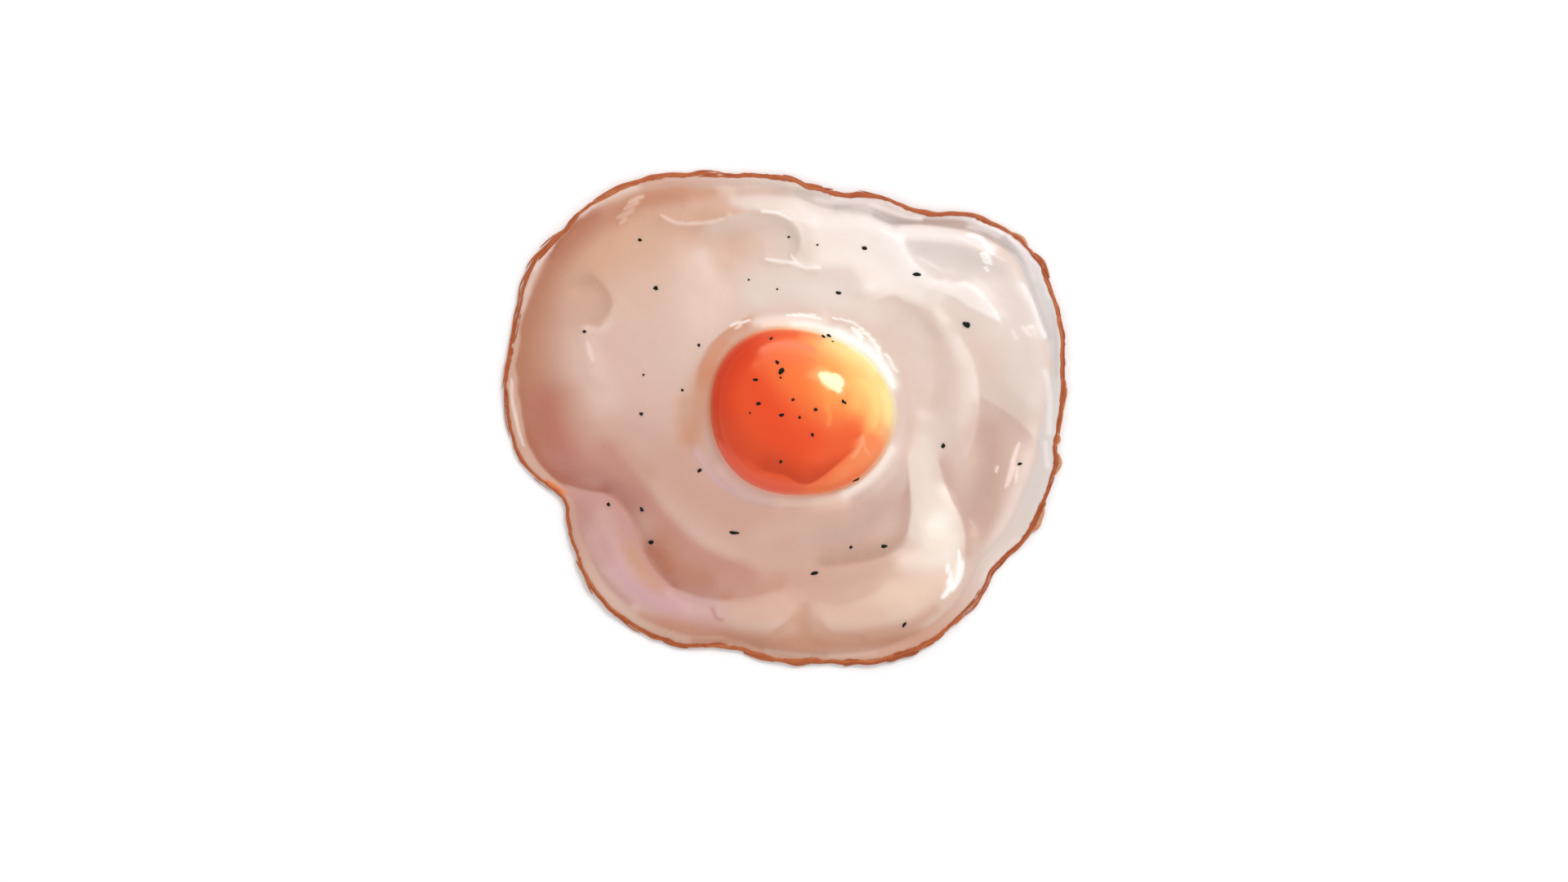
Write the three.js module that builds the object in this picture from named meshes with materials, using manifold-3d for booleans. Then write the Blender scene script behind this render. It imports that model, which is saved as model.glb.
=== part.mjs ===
// A fried egg, sunny side up: a puffy set white with a thin, browned, frilly edge, a domed yolk
// seated in it behind a rolled collar, and flecks of ground pepper stuck to both.
//
// Millimetres, +Z up. The egg lies on its flat underside at z = 0, and the origin is under the
// middle of its bounding box. Everything is laid out about the yolk's centre: x and y in
// millimetres from it, or a bearing in degrees, anticlockwise from +X, with a reach from it.

import * as THREE from "three";
import { mergeVertices } from "three/addons/utils/BufferGeometryUtils.js";
import Module from "manifold-3d";

// ---- driving dimensions ----

// [bearing, reach] of the white's edge, lobe by lobe
const WHITE_EDGE = [
  [0, 57.3], [12, 59.3], [24, 61.3], [33, 62.0], [40, 61.1], [46, 58.7], // right side and upper right lobe
  [51, 56.4], [57, 52.4], [62, 50.9], [73, 50.6], [80, 49.1], // two shallow waves
  [87, 49.8], [94, 51.9], [105, 54.7], [113, 57.2], [123, 61.7], // far side
  [135, 65.8], [143, 66.7], [151, 68.3], [162, 66.5], [175, 65.9], [183, 65.0], [189, 63.5], // upper left lobe
  [195, 59.8], [200, 56.4], [206, 57.6], [218, 60.4], [228, 60.9], [236, 59.6], [244, 57.7], // notch, then lower left lobe
  [252, 54.4], [264, 55.2], [278, 55.9], [287, 57.4], [297, 58.1], [308, 57.4], // near side
  [315, 56.3], [321, 54.9], [329, 56.3], [336, 56.9], [348, 57.2], [353, 56.7], // nick, right side
];

// [bearing, reach] of the yolk at its widest level
const YOLK_EDGE = [
  [0, 20.2], [30, 19.1], [58, 17.8], [88, 18.1], [118, 20.1], [142, 21.0],
  [180, 20.3], [225, 19.9], [270, 18.4], [315, 19.5],
];

// [bearing, width] of the thin outer margin of the white
const MARGIN_WIDTH = [
  [0, 4.0], [10, 3.1], [30, 3.5], [40, 3.7], [55, 2.5], [65, 4.2], [75, 3.2], [86, 3.9],
  [98, 2.7], [112, 3.0], [127, 2.2], [142, 1.2], [152, 1.9], [166, 1.7], [181, 3.6],
  [193, 2.7], [202, 1.7], [215, 3.0], [240, 2.6], [258, 2.0], [272, 1.5], [287, 2.6],
  [308, 3.4], [325, 4.0], [336, 5.0], [350, 4.4],
];

// [bearing, width] of the slope from the margin up to the full body
const SHOULDER_WIDTH = [[0, 5.0], [45, 5.0], [90, 6.0], [135, 8.0], [175, 11.0], [200, 7.0],
  [230, 5.0], [270, 5.5], [315, 5.0]];

// [bearing, width] of the rolled collar round the yolk
const COLLAR_WIDTH = [[0, 2.7], [45, 3.1], [90, 3.0], [135, 4.6], [180, 6.4], [225, 4.2],
  [270, 3.0], [315, 3.6]];

// thickness of the white, from the edge inwards
const FRILL_THICKNESS = 0.7;
const MARGIN_THICKNESS = 1.3;
const BODY_THICKNESS = 3.5;
const FRILL_WIDTH = 1.6;
const SHOULDER_ROUNDING = 0.8; // 1 is a parabola, less is steeper at the foot
const MOUND_RISE = 1.2; // extra height where the body meets the collar
const MOUND_WIDTH = 15;

// the frilly edge: how far it wanders, and how far it curls off the pan
const FRILL_WANDER = 0.25;
const CURL_WIDTH = 7;
const CURL_LIFT = [0.25, 0.95];

// the yolk
const FLOOR_THICKNESS = 1.2; // white under the yolk
const SEAT_CLEARANCE = 0.3; // between yolk and white
const YOLK_DEPTH = 4.2; // from its widest level down to its base
const YOLK_RISE = 11.8; // from its widest level up to its top
const YOLK_CROWN = 2.25; // 2 is an ellipse, more is flatter on top
const YOLK_BASE = 2.7; // the same for the lower half
const COLLAR_OVERLAP = 0.6; // collar's lip above the yolk's widest level

// The lower left lobe lies lower than the body, which slopes down to a crease along this line.
const SHELF_LINE = [[-56, -16.9], [-47, -17.3], [-41, -18.8], [-36.6, -24.5], [-33, -32],
  [-29, -38], [-21, -41.4], [-8, -41.5]];
const SHELF_DROP = 1.9;
const SHELF_SLOPE = 9.0; // width of the body's slope down to the crease
const SHELF_RECOVERY = 0.35; // share of the drop that the lobe's crown makes good
const SWELL_WIDTH = 4.0; // how fast the lobe swells back
const SHELF_FADE = 0.22; // share of the line over which its far end runs out

// Ridges (rise above 0) and hollows (below 0) of the set white. Each lies on a smooth line through
// three points, and falls away over its own width on the left and right of it.
const FOLDS = [
  // upper right lobe: crest along its rim, hollow inside it, and two ridges round that
  { line: [[18, 40.4], [33, 39], [44.5, 34]], left: 1.6, right: 2.6, rise: 0.5 },
  { line: [[27, 34.5], [34, 32.6], [43, 30.5]], left: 2.6, right: 3.4, rise: -0.6 },
  { line: [[18.5, 40], [22, 34.5], [28.5, 28.5]], left: 2.0, right: 3.2, rise: 0.6 },
  { line: [[28.5, 28.5], [36.5, 26.8], [43, 20.2]], left: 2.2, right: 2.6, rise: 0.65 },
  { line: [[13, 26.4], [21.5, 26.6], [30.5, 18]], left: 3.2, right: 1.6, rise: 0.5 },
  // right of the yolk, from the collar out to the rim
  { line: [[29, 17], [30, 9], [28.5, 1]], left: 2.5, right: 4.5, rise: -0.4 },
  { line: [[31, 19], [34, 7], [34.8, -6]], left: 2.4, right: 3.0, rise: 0.6 },
  { line: [[39, 8], [39, 1.5], [37.5, -6]], left: 6.0, right: 1.3, rise: -0.5 },
  { line: [[44, 3], [42, -10], [39, -24]], left: 4.5, right: 4.0, rise: -0.8 },
  { line: [[52, 16], [52, -0.5], [49, -14]], left: 1.8, right: 3.0, rise: 0.5 },
  { line: [[49, -14], [45, -24.5], [39, -32]], left: 2.2, right: 3.0, rise: 0.5 },
  // lower right: a broad ridge that widens into a bulge
  { line: [[22.5, -6], [25, -17], [26.5, -27]], left: 5.5, right: 2.6, rise: 0.9 },
  { line: [[26.5, -27], [19.5, -32.5], [8, -35]], left: 4.0, right: 2.2, rise: 0.6 },
  { line: [[18, -18], [14.5, -25], [4, -28.5]], left: 4.2, right: 4.5, rise: -0.8 },
  { line: [[30.5, -8], [32, -17], [36, -23]], left: 4.0, right: 1.6, rise: -0.5 },
  { line: [[33, -20], [35.5, -30.5], [33, -40]], left: 1.8, right: 4.0, rise: 0.7 },
  { line: [[33, -40], [24, -46], [12, -49]], left: 1.6, right: 3.5, rise: 0.4 },
  // near side: two bulges with a wedge between them
  { line: [[0.3, -43.5], [0.5, -47], [0.5, -51]], left: 3.0, right: 2.8, rise: -0.5 },
  { line: [[-20, -45.5], [-12, -44.5], [-4, -46]], left: 3.0, right: 3.0, rise: 0.5 },
  { line: [[6, -46], [14, -44], [22, -45]], left: 4.0, right: 4.0, rise: 0.5 },
  // far side: an oval hollow with a raised rim, and a few thin wrinkles
  { line: [[-15, 37], [-8.5, 39.5], [-3, 38.5]], left: 2.5, right: 4.0, rise: -0.7 },
  { line: [[-10, 45], [-3, 42.5], [0.5, 36]], left: 3.0, right: 1.3, rise: 0.5 },
  { line: [[-8, 33.6], [-3, 33], [3, 31.3]], left: 0.9, right: 0.9, rise: 0.3 },
  { line: [[-31, 43.2], [-24.5, 42], [-17, 43.2]], left: 1.0, right: 1.8, rise: 0.4 },
  // left side: a dent, a boss, and a roll above the crease
  { line: [[-49, 27.5], [-45, 27], [-43.5, 22]], left: 1.8, right: 3.5, rise: -0.6 },
  { line: [[-48, 16.5], [-47, 12.5], [-46, 8]], left: 2.5, right: 1.6, rise: 0.5 },
  { line: [[-54, -13], [-47, -13], [-41, -15.5]], left: 3.0, right: 2.0, rise: 0.4 },
  // crown of the lower left lobe
  { line: [[-46, -24], [-40, -36], [-27, -44]], left: 3.5, right: 3.0, rise: 0.4 },
];

// Pepper: where each fleck lies, its length and width, and the way it points.
const FLECK_SHAPE = { thickness: 0.62, sunk: 0.3 }; // thickness as a share of width; depth sunk in
const WHITE_FLECKS = [
  { x: 36.1, y: 19.3, long: 1.9, wide: 1.4, turn: 144 },
  { x: -15.0, y: -26.6, long: 2.3, wide: 0.8, turn: 174 },
  { x: 25.1, y: 30.3, long: 1.5, wide: 0.8, turn: 167 },
  { x: 2.8, y: -35.5, long: 1.7, wide: 0.7, turn: 6 },
  { x: 30.9, y: -7.5, long: 1.1, wide: 0.9, turn: 70 },
  { x: 13.6, y: 36.1, long: 1.5, wide: 0.8, turn: 160 },
  { x: 17.9, y: -29.6, long: 1.4, wide: 0.7, turn: 3 },
  { x: -33.4, y: -28.7, long: 1.0, wide: 0.8, turn: 165 },
  { x: 22.4, y: -46.9, long: 1.3, wide: 0.7, turn: 55 },
  { x: 8.0, y: 26.2, long: 1.2, wide: 0.7, turn: 175 },
  { x: -22.6, y: -12.9, long: 0.9, wide: 0.8, turn: 20 },
  { x: -32.3, y: 27.3, long: 1.1, wide: 0.8, turn: 135 },
  { x: -35.4, y: -0.4, long: 1.0, wide: 0.8, turn: 6 },
  { x: 47.8, y: -11.4, long: 1.1, wide: 0.7, turn: 0 },
  { x: -35.4, y: -21.5, long: 1.1, wide: 0.7, turn: 129 },
  { x: -42.8, y: -20.4, long: 1.0, wide: 0.7, turn: 98 },
  { x: -35.9, y: 37.9, long: 0.9, wide: 0.7, turn: 0 },
];
const YOLK_FLECKS = [
  { x: -4.6, y: 8.7, long: 1.5, wide: 1.2, turn: 40 },
  { x: 11.7, y: -14.9, long: 1.8, wide: 0.7, turn: 12 },
  { x: -9.6, y: 1.7, long: 1.4, wide: 0.7, turn: 12 },
  { x: 8.9, y: 2.1, long: 1.3, wide: 0.7, turn: 140 },
  { x: -5.5, y: 10.7, long: 1.1, wide: 0.8, turn: 131 },
  { x: -4.6, y: -0.8, long: 1.2, wide: 0.6, turn: 9 },
  { x: -10.2, y: 6.9, long: 1.1, wide: 0.6, turn: 0 },
  { x: 4.6, y: 16.3, long: 0.8, wide: 0.7, turn: 0 },
  { x: 2.8, y: 0.4, long: 0.8, wide: 0.7, turn: 0 },
  { x: -4.8, y: -10.9, long: 0.8, wide: 0.7, turn: 90 },
  { x: -6.9, y: 15.9, long: 0.8, wide: 0.7, turn: 45 },
  { x: 2.1, y: -5.0, long: 0.8, wide: 0.7, turn: 90 },
];

const SECTIONS = 160; // round the white
const YOLK_SECTIONS = 56;

// ---- lines and shapes ----

const radians = (degrees) => (degrees * Math.PI) / 180;
const mix = (a, b, share) => a + (b - a) * share;

// 0 below 0, 1 above 1, and an S between them
function ease(x) {
  const t = Math.min(1, Math.max(0, x));
  return t * t * (3 - 2 * t);
}

// A closed smooth line through [bearing, value] stations: a cubic between neighbours, whose slope
// at each station is that of the chord between the stations on either side.
function around(stations) {
  const count = stations.length;
  const station = (i) => {
    const turns = Math.floor(i / count);
    const [bearing, value] = stations[i - turns * count];
    return [bearing + 360 * turns, value];
  };
  const slope = (i) => {
    const [before, after] = [station(i - 1), station(i + 1)];
    return (after[1] - before[1]) / (after[0] - before[0]);
  };
  return (bearing) => {
    const b = ((bearing % 360) + 360) % 360;
    let i = count - 1;
    while (i >= 0 && station(i)[0] > b) i--;
    const [b0, v0] = station(i);
    const [b1, v1] = station(i + 1);
    const span = b1 - b0;
    const t = (b - b0) / span;
    const s = 1 - t;
    return v0 * s * s * (1 + 2 * t) + v1 * t * t * (1 + 2 * s)
      + span * t * s * (slope(i) * s - slope(i + 1) * t);
  };
}

const whiteEdge = around(WHITE_EDGE);
const yolkEdge = around(YOLK_EDGE);
const marginWidth = around(MARGIN_WIDTH);
const shoulderWidth = around(SHOULDER_WIDTH);
const collarWidth = around(COLLAR_WIDTH);

// A frill is a sum of waves round the egg: [waves in a turn, share, phase in degrees].
const WANDER_WAVES = [[23, 0.5, 40], [41, 0.35, 200], [67, 0.25, 95]];
const CURL_WAVES = [[5, 0.5, 80], [9, 0.35, 310], [16, 0.25, 150]];
const waves = (terms, bearing) =>
  terms.reduce((sum, [count, share, phase]) => sum + share * Math.sin(radians(count * bearing + phase)), 0);

const edgeReach = (bearing) => whiteEdge(bearing) + FRILL_WANDER * waves(WANDER_WAVES, bearing);
const curl = (bearing) => mix(CURL_LIFT[0], CURL_LIFT[1], ease(0.5 + 0.5 * waves(CURL_WAVES, bearing)));

// Distance in from the edge, square to it: the reach left over, times the cosine of the angle
// between the spoke and the edge's normal.
function inFromEdge(bearing, reach) {
  const step = 1.5;
  const fullReach = whiteEdge(bearing);
  const slope = (whiteEdge(bearing + step) - whiteEdge(bearing - step)) / radians(2 * step);
  return (edgeReach(bearing) - reach) * (fullReach / Math.hypot(fullReach, slope));
}

const polar = (x, y) => [THREE.MathUtils.radToDeg(Math.atan2(y, x)), Math.hypot(x, y)];

// The foot of a slope, at 0, up to its top, at 1: steepest at the foot, level at the top.
function roundedStep(x) {
  const t = THREE.MathUtils.clamp(x, 0, 1);
  return (1 - (1 - t) ** 2) ** SHOULDER_ROUNDING;
}

// Where a point lies beside a line of short straight pieces: how far away, to which side, from 1 on
// its left to -1 on its right and between them past its ends, and how far along it, from 0 to 1.
function beside(x, y, points) {
  let nearest = { away: Infinity };
  for (let i = 0; i + 1 < points.length; i++) {
    const [a, b] = [points[i], points[i + 1]];
    const [dx, dy] = [b.x - a.x, b.y - a.y];
    const share = THREE.MathUtils.clamp(((x - a.x) * dx + (y - a.y) * dy) / (dx * dx + dy * dy), 0, 1);
    const [ox, oy] = [x - a.x - share * dx, y - a.y - share * dy];
    const away = Math.hypot(ox, oy);
    if (away < nearest.away) {
      const side = (dx * oy - dy * ox) / Math.max(1e-9, away * Math.hypot(dx, dy));
      nearest = { away, side, along: (i + share) / (points.length - 1) };
    }
  }
  return nearest;
}

const smoothLine = (line, pieces) =>
  new THREE.SplineCurve(line.map(([x, y]) => new THREE.Vector2(x, y))).getPoints(pieces * (line.length - 1));
const foldLines = FOLDS.map(({ line, ...form }) => ({ points: smoothLine(line, 6), ...form }));
const shelfPoints = smoothLine(SHELF_LINE, 6);

const foldHeight = (x, y) =>
  foldLines.reduce((sum, { points, left, right, rise }) => {
    const { away, side } = beside(x, y, points);
    return sum + rise * Math.exp(-((away / mix(right, left, ease(0.5 + 0.5 * side))) ** 2));
  }, 0);

// How far the lobe and the slope above it lie below the body. The line runs with the body on its
// left; on its right the lobe swells back towards its crown.
function shelfDrop(x, y) {
  const { away, side, along } = beside(x, y, shelfPoints);
  const depth = SHELF_DROP * ease((1 - along) / SHELF_FADE);
  if (side > 0) return depth * (1 - roundedStep(away / SHELF_SLOPE));
  return depth * (1 - SHELF_RECOVERY * (1 - Math.exp(-away / SWELL_WIDTH)));
}

// ---- the white ----

const yolkWidestZ = FLOOR_THICKNESS + SEAT_CLEARANCE + YOLK_DEPTH;
const lipZ = yolkWidestZ + COLLAR_OVERLAP;

// How far the underside is off the pan: nothing, except where the edge curls up.
const undersideZ = (bearing, inward) => curl(bearing) * (1 - ease(inward / CURL_WIDTH));

// Height of the top: frill, margin, shoulder, body and mound in turn, then the folds, and last the
// collar, which climbs to the yolk.
function whiteTopZ(x, y) {
  const [bearing, reach] = polar(x, y);
  const inward = inFromEdge(bearing, reach);
  const outward = reach - yolkEdge(bearing);
  const margin = mix(FRILL_THICKNESS, MARGIN_THICKNESS, ease(inward / FRILL_WIDTH));
  const shoulder = roundedStep((inward - marginWidth(bearing)) / shoulderWidth(bearing));
  const pastCollar = outward - collarWidth(bearing);
  const mound = MOUND_RISE * (1 - ease(pastCollar / MOUND_WIDTH));
  const foldShare = mix(0.3, 1, shoulder) * ease(inward / FRILL_WIDTH) * ease(pastCollar / 2.5);
  const body = undersideZ(bearing, inward) + mound
    + mix(margin, BODY_THICKNESS - shelfDrop(x, y), shoulder) + foldShare * foldHeight(x, y);
  if (pastCollar >= 0) return body;
  const climb = 1 - Math.max(0, outward / collarWidth(bearing));
  return mix(body, lipZ, 0.5 * (ease(climb) + roundedStep(climb)));
}

// The yolk's section: its share of full reach at a height, for rings from base to top.
function yolkLevel(angle) {
  const [power, height] = angle < 0 ? [YOLK_BASE, YOLK_DEPTH] : [YOLK_CROWN, YOLK_RISE];
  return {
    share: Math.cos(angle) ** (2 / power),
    z: yolkWidestZ + Math.sign(angle) * height * Math.abs(Math.sin(angle)) ** (2 / power),
  };
}

// A ring of points round the yolk's centre.
const ring = (sections, reachAt, heightAt) =>
  Array.from({ length: sections }, (_, i) => {
    const bearing = (360 * i) / sections;
    const reach = reachAt(bearing);
    const [x, y] = [reach * Math.cos(radians(bearing)), reach * Math.sin(radians(bearing))];
    return new THREE.Vector3(x, y, heightAt(x, y, bearing, reach));
  });

// A closed skin over rings, from a pole inside the first ring to a pole inside the last.
function skin(rings, firstPole, lastPole) {
  const count = rings[0].length;
  const points = [firstPole, ...rings.flat(), lastPole];
  const at = (row, i) => 1 + row * count + (i % count);
  const faces = [];
  for (let i = 0; i < count; i++) {
    faces.push(0, at(0, i + 1), at(0, i));
    for (let row = 0; row + 1 < rings.length; row++) {
      const [a, b, c, d] = [at(row, i), at(row, i + 1), at(row + 1, i + 1), at(row + 1, i)];
      faces.push(a, b, c, a, c, d);
    }
    faces.push(at(rings.length - 1, i), at(rings.length - 1, i + 1), points.length - 1);
  }
  return new THREE.BufferGeometry().setFromPoints(points).setIndex(faces);
}

function whiteGeometry() {
  const flatReach = (bearing) => edgeReach(bearing) - CURL_WIDTH;
  const collarEdge = (bearing) => yolkEdge(bearing) + collarWidth(bearing);
  const footReach = (bearing) => edgeReach(bearing) - marginWidth(bearing);
  const shoulderReach = (bearing) => footReach(bearing) - shoulderWidth(bearing);
  const under = (x, y, bearing, reach) => undersideZ(bearing, inFromEdge(bearing, reach));
  const rings = [0.45, 1].map((share) => ring(SECTIONS, (b) => share * flatReach(b), () => 0));
  rings.push(ring(SECTIONS, (b) => edgeReach(b) - CURL_WIDTH / 2, under));
  rings.push(ring(SECTIONS, edgeReach, under));
  const top = (reachAt) => rings.push(ring(SECTIONS, reachAt, whiteTopZ));
  for (const share of [0, 0.45, 0.97]) top((b) => mix(edgeReach(b), footReach(b), share));
  for (const share of [0.05, 0.2, 0.45, 0.7]) top((b) => mix(footReach(b), shoulderReach(b), share));
  const bodyRings = 11;
  for (let i = 0; i <= bodyRings; i++) top((b) => mix(shoulderReach(b), collarEdge(b), i / bodyRings));
  for (const share of [0.75, 0.5, 0.25]) top((b) => yolkEdge(b) + share * collarWidth(b));
  // the seat follows the yolk's underside at a clearance
  top((b) => yolkEdge(b) + SEAT_CLEARANCE);
  for (const angle of [0, -0.45, -0.9, -1.25]) {
    const { share, z } = yolkLevel(angle);
    rings.push(ring(SECTIONS, (b) => yolkEdge(b) * share + SEAT_CLEARANCE, () => z - SEAT_CLEARANCE * -Math.sin(angle)));
  }
  return skin(rings, new THREE.Vector3(0, 0, 0), new THREE.Vector3(0, 0, FLOOR_THICKNESS));
}

// ---- the yolk ----

function yolkTopZ(x, y) {
  const [bearing, reach] = polar(x, y);
  const share = Math.min(1, reach / yolkEdge(bearing));
  return yolkWidestZ + YOLK_RISE * (1 - share ** YOLK_CROWN) ** (1 / YOLK_CROWN);
}

function yolkGeometry() {
  const angles = [-1.25, -0.9, -0.45, 0, 0.12, 0.26, 0.42, 0.58, 0.74, 0.9, 1.05, 1.2, 1.34, 1.46];
  const rings = angles.map((angle) => {
    const { share, z } = yolkLevel(angle);
    return ring(YOLK_SECTIONS, (b) => yolkEdge(b) * share, () => z);
  });
  return skin(rings, new THREE.Vector3(0, 0, yolkWidestZ - YOLK_DEPTH),
    new THREE.Vector3(0, 0, yolkWidestZ + YOLK_RISE));
}

// ---- pepper ----

// A faceted fleck lying on a surface, tilted to it and sunk a little way in.
function fleckGeometry({ x, y, long, wide, turn }, surfaceZ) {
  const step = 0.4;
  const normal = new THREE.Vector3(
    surfaceZ(x - step, y) - surfaceZ(x + step, y),
    surfaceZ(x, y - step) - surfaceZ(x, y + step),
    2 * step,
  ).normalize();
  const thick = wide * FLECK_SHAPE.thickness;
  const lean = new THREE.Quaternion().setFromUnitVectors(new THREE.Vector3(0, 0, 1), normal);
  const geometry = new THREE.IcosahedronGeometry(1, 0).scale(long / 2, wide / 2, thick);
  geometry.rotateZ(radians(turn)).applyQuaternion(lean);
  const centre = new THREE.Vector3(x, y, surfaceZ(x, y)).addScaledVector(normal, -thick * FLECK_SHAPE.sunk);
  return geometry.translate(centre.x, centre.y, centre.z);
}

// ---- solids ----

const wasm = await Module();
wasm.setup();

function solidOf(geometry) {
  const bare = geometry.clone();
  bare.deleteAttribute("normal");
  bare.deleteAttribute("uv");
  const { attributes, index } = mergeVertices(bare);
  return new wasm.Manifold(new wasm.Mesh({
    numProp: 3,
    vertProperties: attributes.position.array,
    triVerts: Uint32Array.from(index.array),
  }));
}

function geometryOf(solid) {
  const { vertProperties, triVerts } = solid.getMesh();
  const geometry = new THREE.BufferGeometry();
  geometry.setAttribute("position", new THREE.BufferAttribute(vertProperties, 3));
  geometry.setIndex(new THREE.BufferAttribute(triVerts, 1));
  geometry.computeVertexNormals();
  return geometry;
}

const withFlecks = (base, flecks, surfaceZ) =>
  geometryOf(flecks.reduce((solid, fleck) => solid.add(solidOf(fleckGeometry(fleck, surfaceZ))), solidOf(base)));

// ---- the egg ----

const whiteMaterial = new THREE.MeshStandardMaterial({ color: "#e6d3c8", roughness: 0.32, metalness: 0 });
const yolkMaterial = new THREE.MeshStandardMaterial({ color: "#ee6a35", roughness: 0.16, metalness: 0 });

const white = new THREE.Mesh(withFlecks(whiteGeometry(), WHITE_FLECKS, whiteTopZ), whiteMaterial);
white.name = "white";
const yolk = new THREE.Mesh(withFlecks(yolkGeometry(), YOLK_FLECKS, yolkTopZ), yolkMaterial);
yolk.name = "yolk";

// Both are drawn about the yolk's centre, so they move together to bring the middle to the origin.
white.geometry.computeBoundingBox();
const middle = white.geometry.boundingBox.getCenter(new THREE.Vector3());
for (const mesh of [white, yolk]) mesh.position.set(-middle.x, -middle.y, 0);

const egg = new THREE.Group();
egg.name = "fried_egg";
egg.add(white, yolk);

export default egg;
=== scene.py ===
import bpy
import math
import numpy as np
from mathutils import Matrix, Vector


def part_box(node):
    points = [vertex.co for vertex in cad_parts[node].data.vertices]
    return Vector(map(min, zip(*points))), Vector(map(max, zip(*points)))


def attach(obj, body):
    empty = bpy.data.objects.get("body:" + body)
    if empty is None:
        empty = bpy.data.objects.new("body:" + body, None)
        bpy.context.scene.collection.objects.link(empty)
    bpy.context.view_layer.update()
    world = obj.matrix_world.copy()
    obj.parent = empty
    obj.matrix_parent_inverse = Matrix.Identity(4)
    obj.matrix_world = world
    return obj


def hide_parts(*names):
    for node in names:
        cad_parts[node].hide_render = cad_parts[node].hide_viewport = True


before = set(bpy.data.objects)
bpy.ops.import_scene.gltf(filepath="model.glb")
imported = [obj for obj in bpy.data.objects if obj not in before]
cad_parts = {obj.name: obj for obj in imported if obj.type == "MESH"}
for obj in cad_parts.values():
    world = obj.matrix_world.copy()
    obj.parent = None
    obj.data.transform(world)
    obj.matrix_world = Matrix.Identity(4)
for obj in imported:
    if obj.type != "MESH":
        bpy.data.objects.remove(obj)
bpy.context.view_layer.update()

# A fried egg, sunny side up, looked at from straight above.
# Shapes are worked out in millimetres about the yolk's centre, or by bearing (degrees,
# anticlockwise from +X) and reach from it, and go into the meshes in metres.
mm = 0.001


def ease(x):
    # 0 below 0, 1 above 1, and 3t^2 - 2t^3 between
    t = np.clip(x, 0, 1)
    return t * t * (3 - 2 * t)


def mix(a, b, share):
    return a + (b - a) * share


def around(stations):
    # a closed cubic through [bearing, value] stations, with the slope at each one taken from the
    # chord between its neighbours
    b, v = np.array(stations, float).T
    bearings = np.concatenate([b[-2:] - 360, b, b[:2] + 360])
    values = np.concatenate([v[-2:], v, v[:2]])
    slopes = (values[2:] - values[:-2]) / (bearings[2:] - bearings[:-2])

    def at(bearing):
        turned = np.mod(bearing, 360)
        i = np.searchsorted(bearings, turned, side="right") - 1
        span = bearings[i + 1] - bearings[i]
        t = (turned - bearings[i]) / span
        s = 1 - t
        return (values[i] * s * s * (1 + 2 * t) + values[i + 1] * t * t * (1 + 2 * s)
                + span * t * s * (slopes[i - 1] * s - slopes[i] * t))
    return at


def ringWaves(bearing, terms):
    # sum of share * sin(count * bearing + phase), which closes on itself after a turn
    return sum(share * np.sin(np.radians(count * bearing + phase)) for count, share, phase in terms)


def frill(bearing, fewest, most, seed, fade=0.6, terms=40):
    # sum of sin(n * bearing + random phase) / n^fade over the wave counts n, at unit strength
    rng = np.random.default_rng(seed)
    counts = np.unique(np.geomspace(fewest, most, terms).astype(int))
    shares = counts ** -fade
    phases = rng.uniform(0, 360, len(counts))
    return ringWaves(bearing, zip(counts, shares, phases)) * math.sqrt(2) / np.hypot.reduce(shares)


def softNoise(x, y, length, seed, corners=64):
    # each corner of a square lattice has a random direction; its dot product with the way from the
    # corner is eased from corner to corner
    turns = np.random.default_rng(seed).uniform(0, 2 * np.pi, (corners, corners))
    u, v = np.asarray(x) / length, np.asarray(y) / length
    i, j = np.floor(u).astype(int), np.floor(v).astype(int)
    total = np.zeros_like(u)
    for di, dj in ((0, 0), (0, 1), (1, 0), (1, 1)):
        turn = turns[(i + di) % corners, (j + dj) % corners]
        du, dv = u - i - di, v - j - dj
        total += (np.cos(turn) * du + np.sin(turn) * dv) * ease(1 - abs(du)) * ease(1 - abs(dv))
    return total * 2


def smoothLine(points, pieces=6):
    # through every point, heading at each one as the chord between its neighbours does
    p = np.array(points, float)
    heading = np.gradient(p, axis=0)
    heading[[0, -1]] /= 2
    t = np.linspace(0, 1, pieces, endpoint=False)[:, None, None]
    s = 1 - t
    line = (p[:-1] * s * s * (1 + 2 * t) + p[1:] * t * t * (1 + 2 * s)
            + t * s * (heading[:-1] * s - heading[1:] * t))
    return np.vstack([line.swapaxes(0, 1).reshape(-1, 2), p[-1:]])


def beside(x, y, line):
    # how far away a line of straight pieces is, to which side (1 left, -1 right, between them past
    # the ends), and how far along it
    away, side, along = np.full(x.shape, np.inf), np.zeros(x.shape), np.zeros(x.shape)
    for i, (a, b) in enumerate(zip(line[:-1], line[1:])):
        dx, dy = b - a
        share = np.clip(((x - a[0]) * dx + (y - a[1]) * dy) / (dx * dx + dy * dy), 0, 1)
        ox, oy = x - a[0] - share * dx, y - a[1] - share * dy
        there = np.hypot(ox, oy)
        nearer = there < away
        away = np.where(nearer, there, away)
        side = np.where(nearer, (dx * oy - dy * ox) / np.maximum(1e-9, there * math.hypot(dx, dy)), side)
        along = np.where(nearer, (i + share) / (len(line) - 1), along)
    return away, side, along


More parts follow.
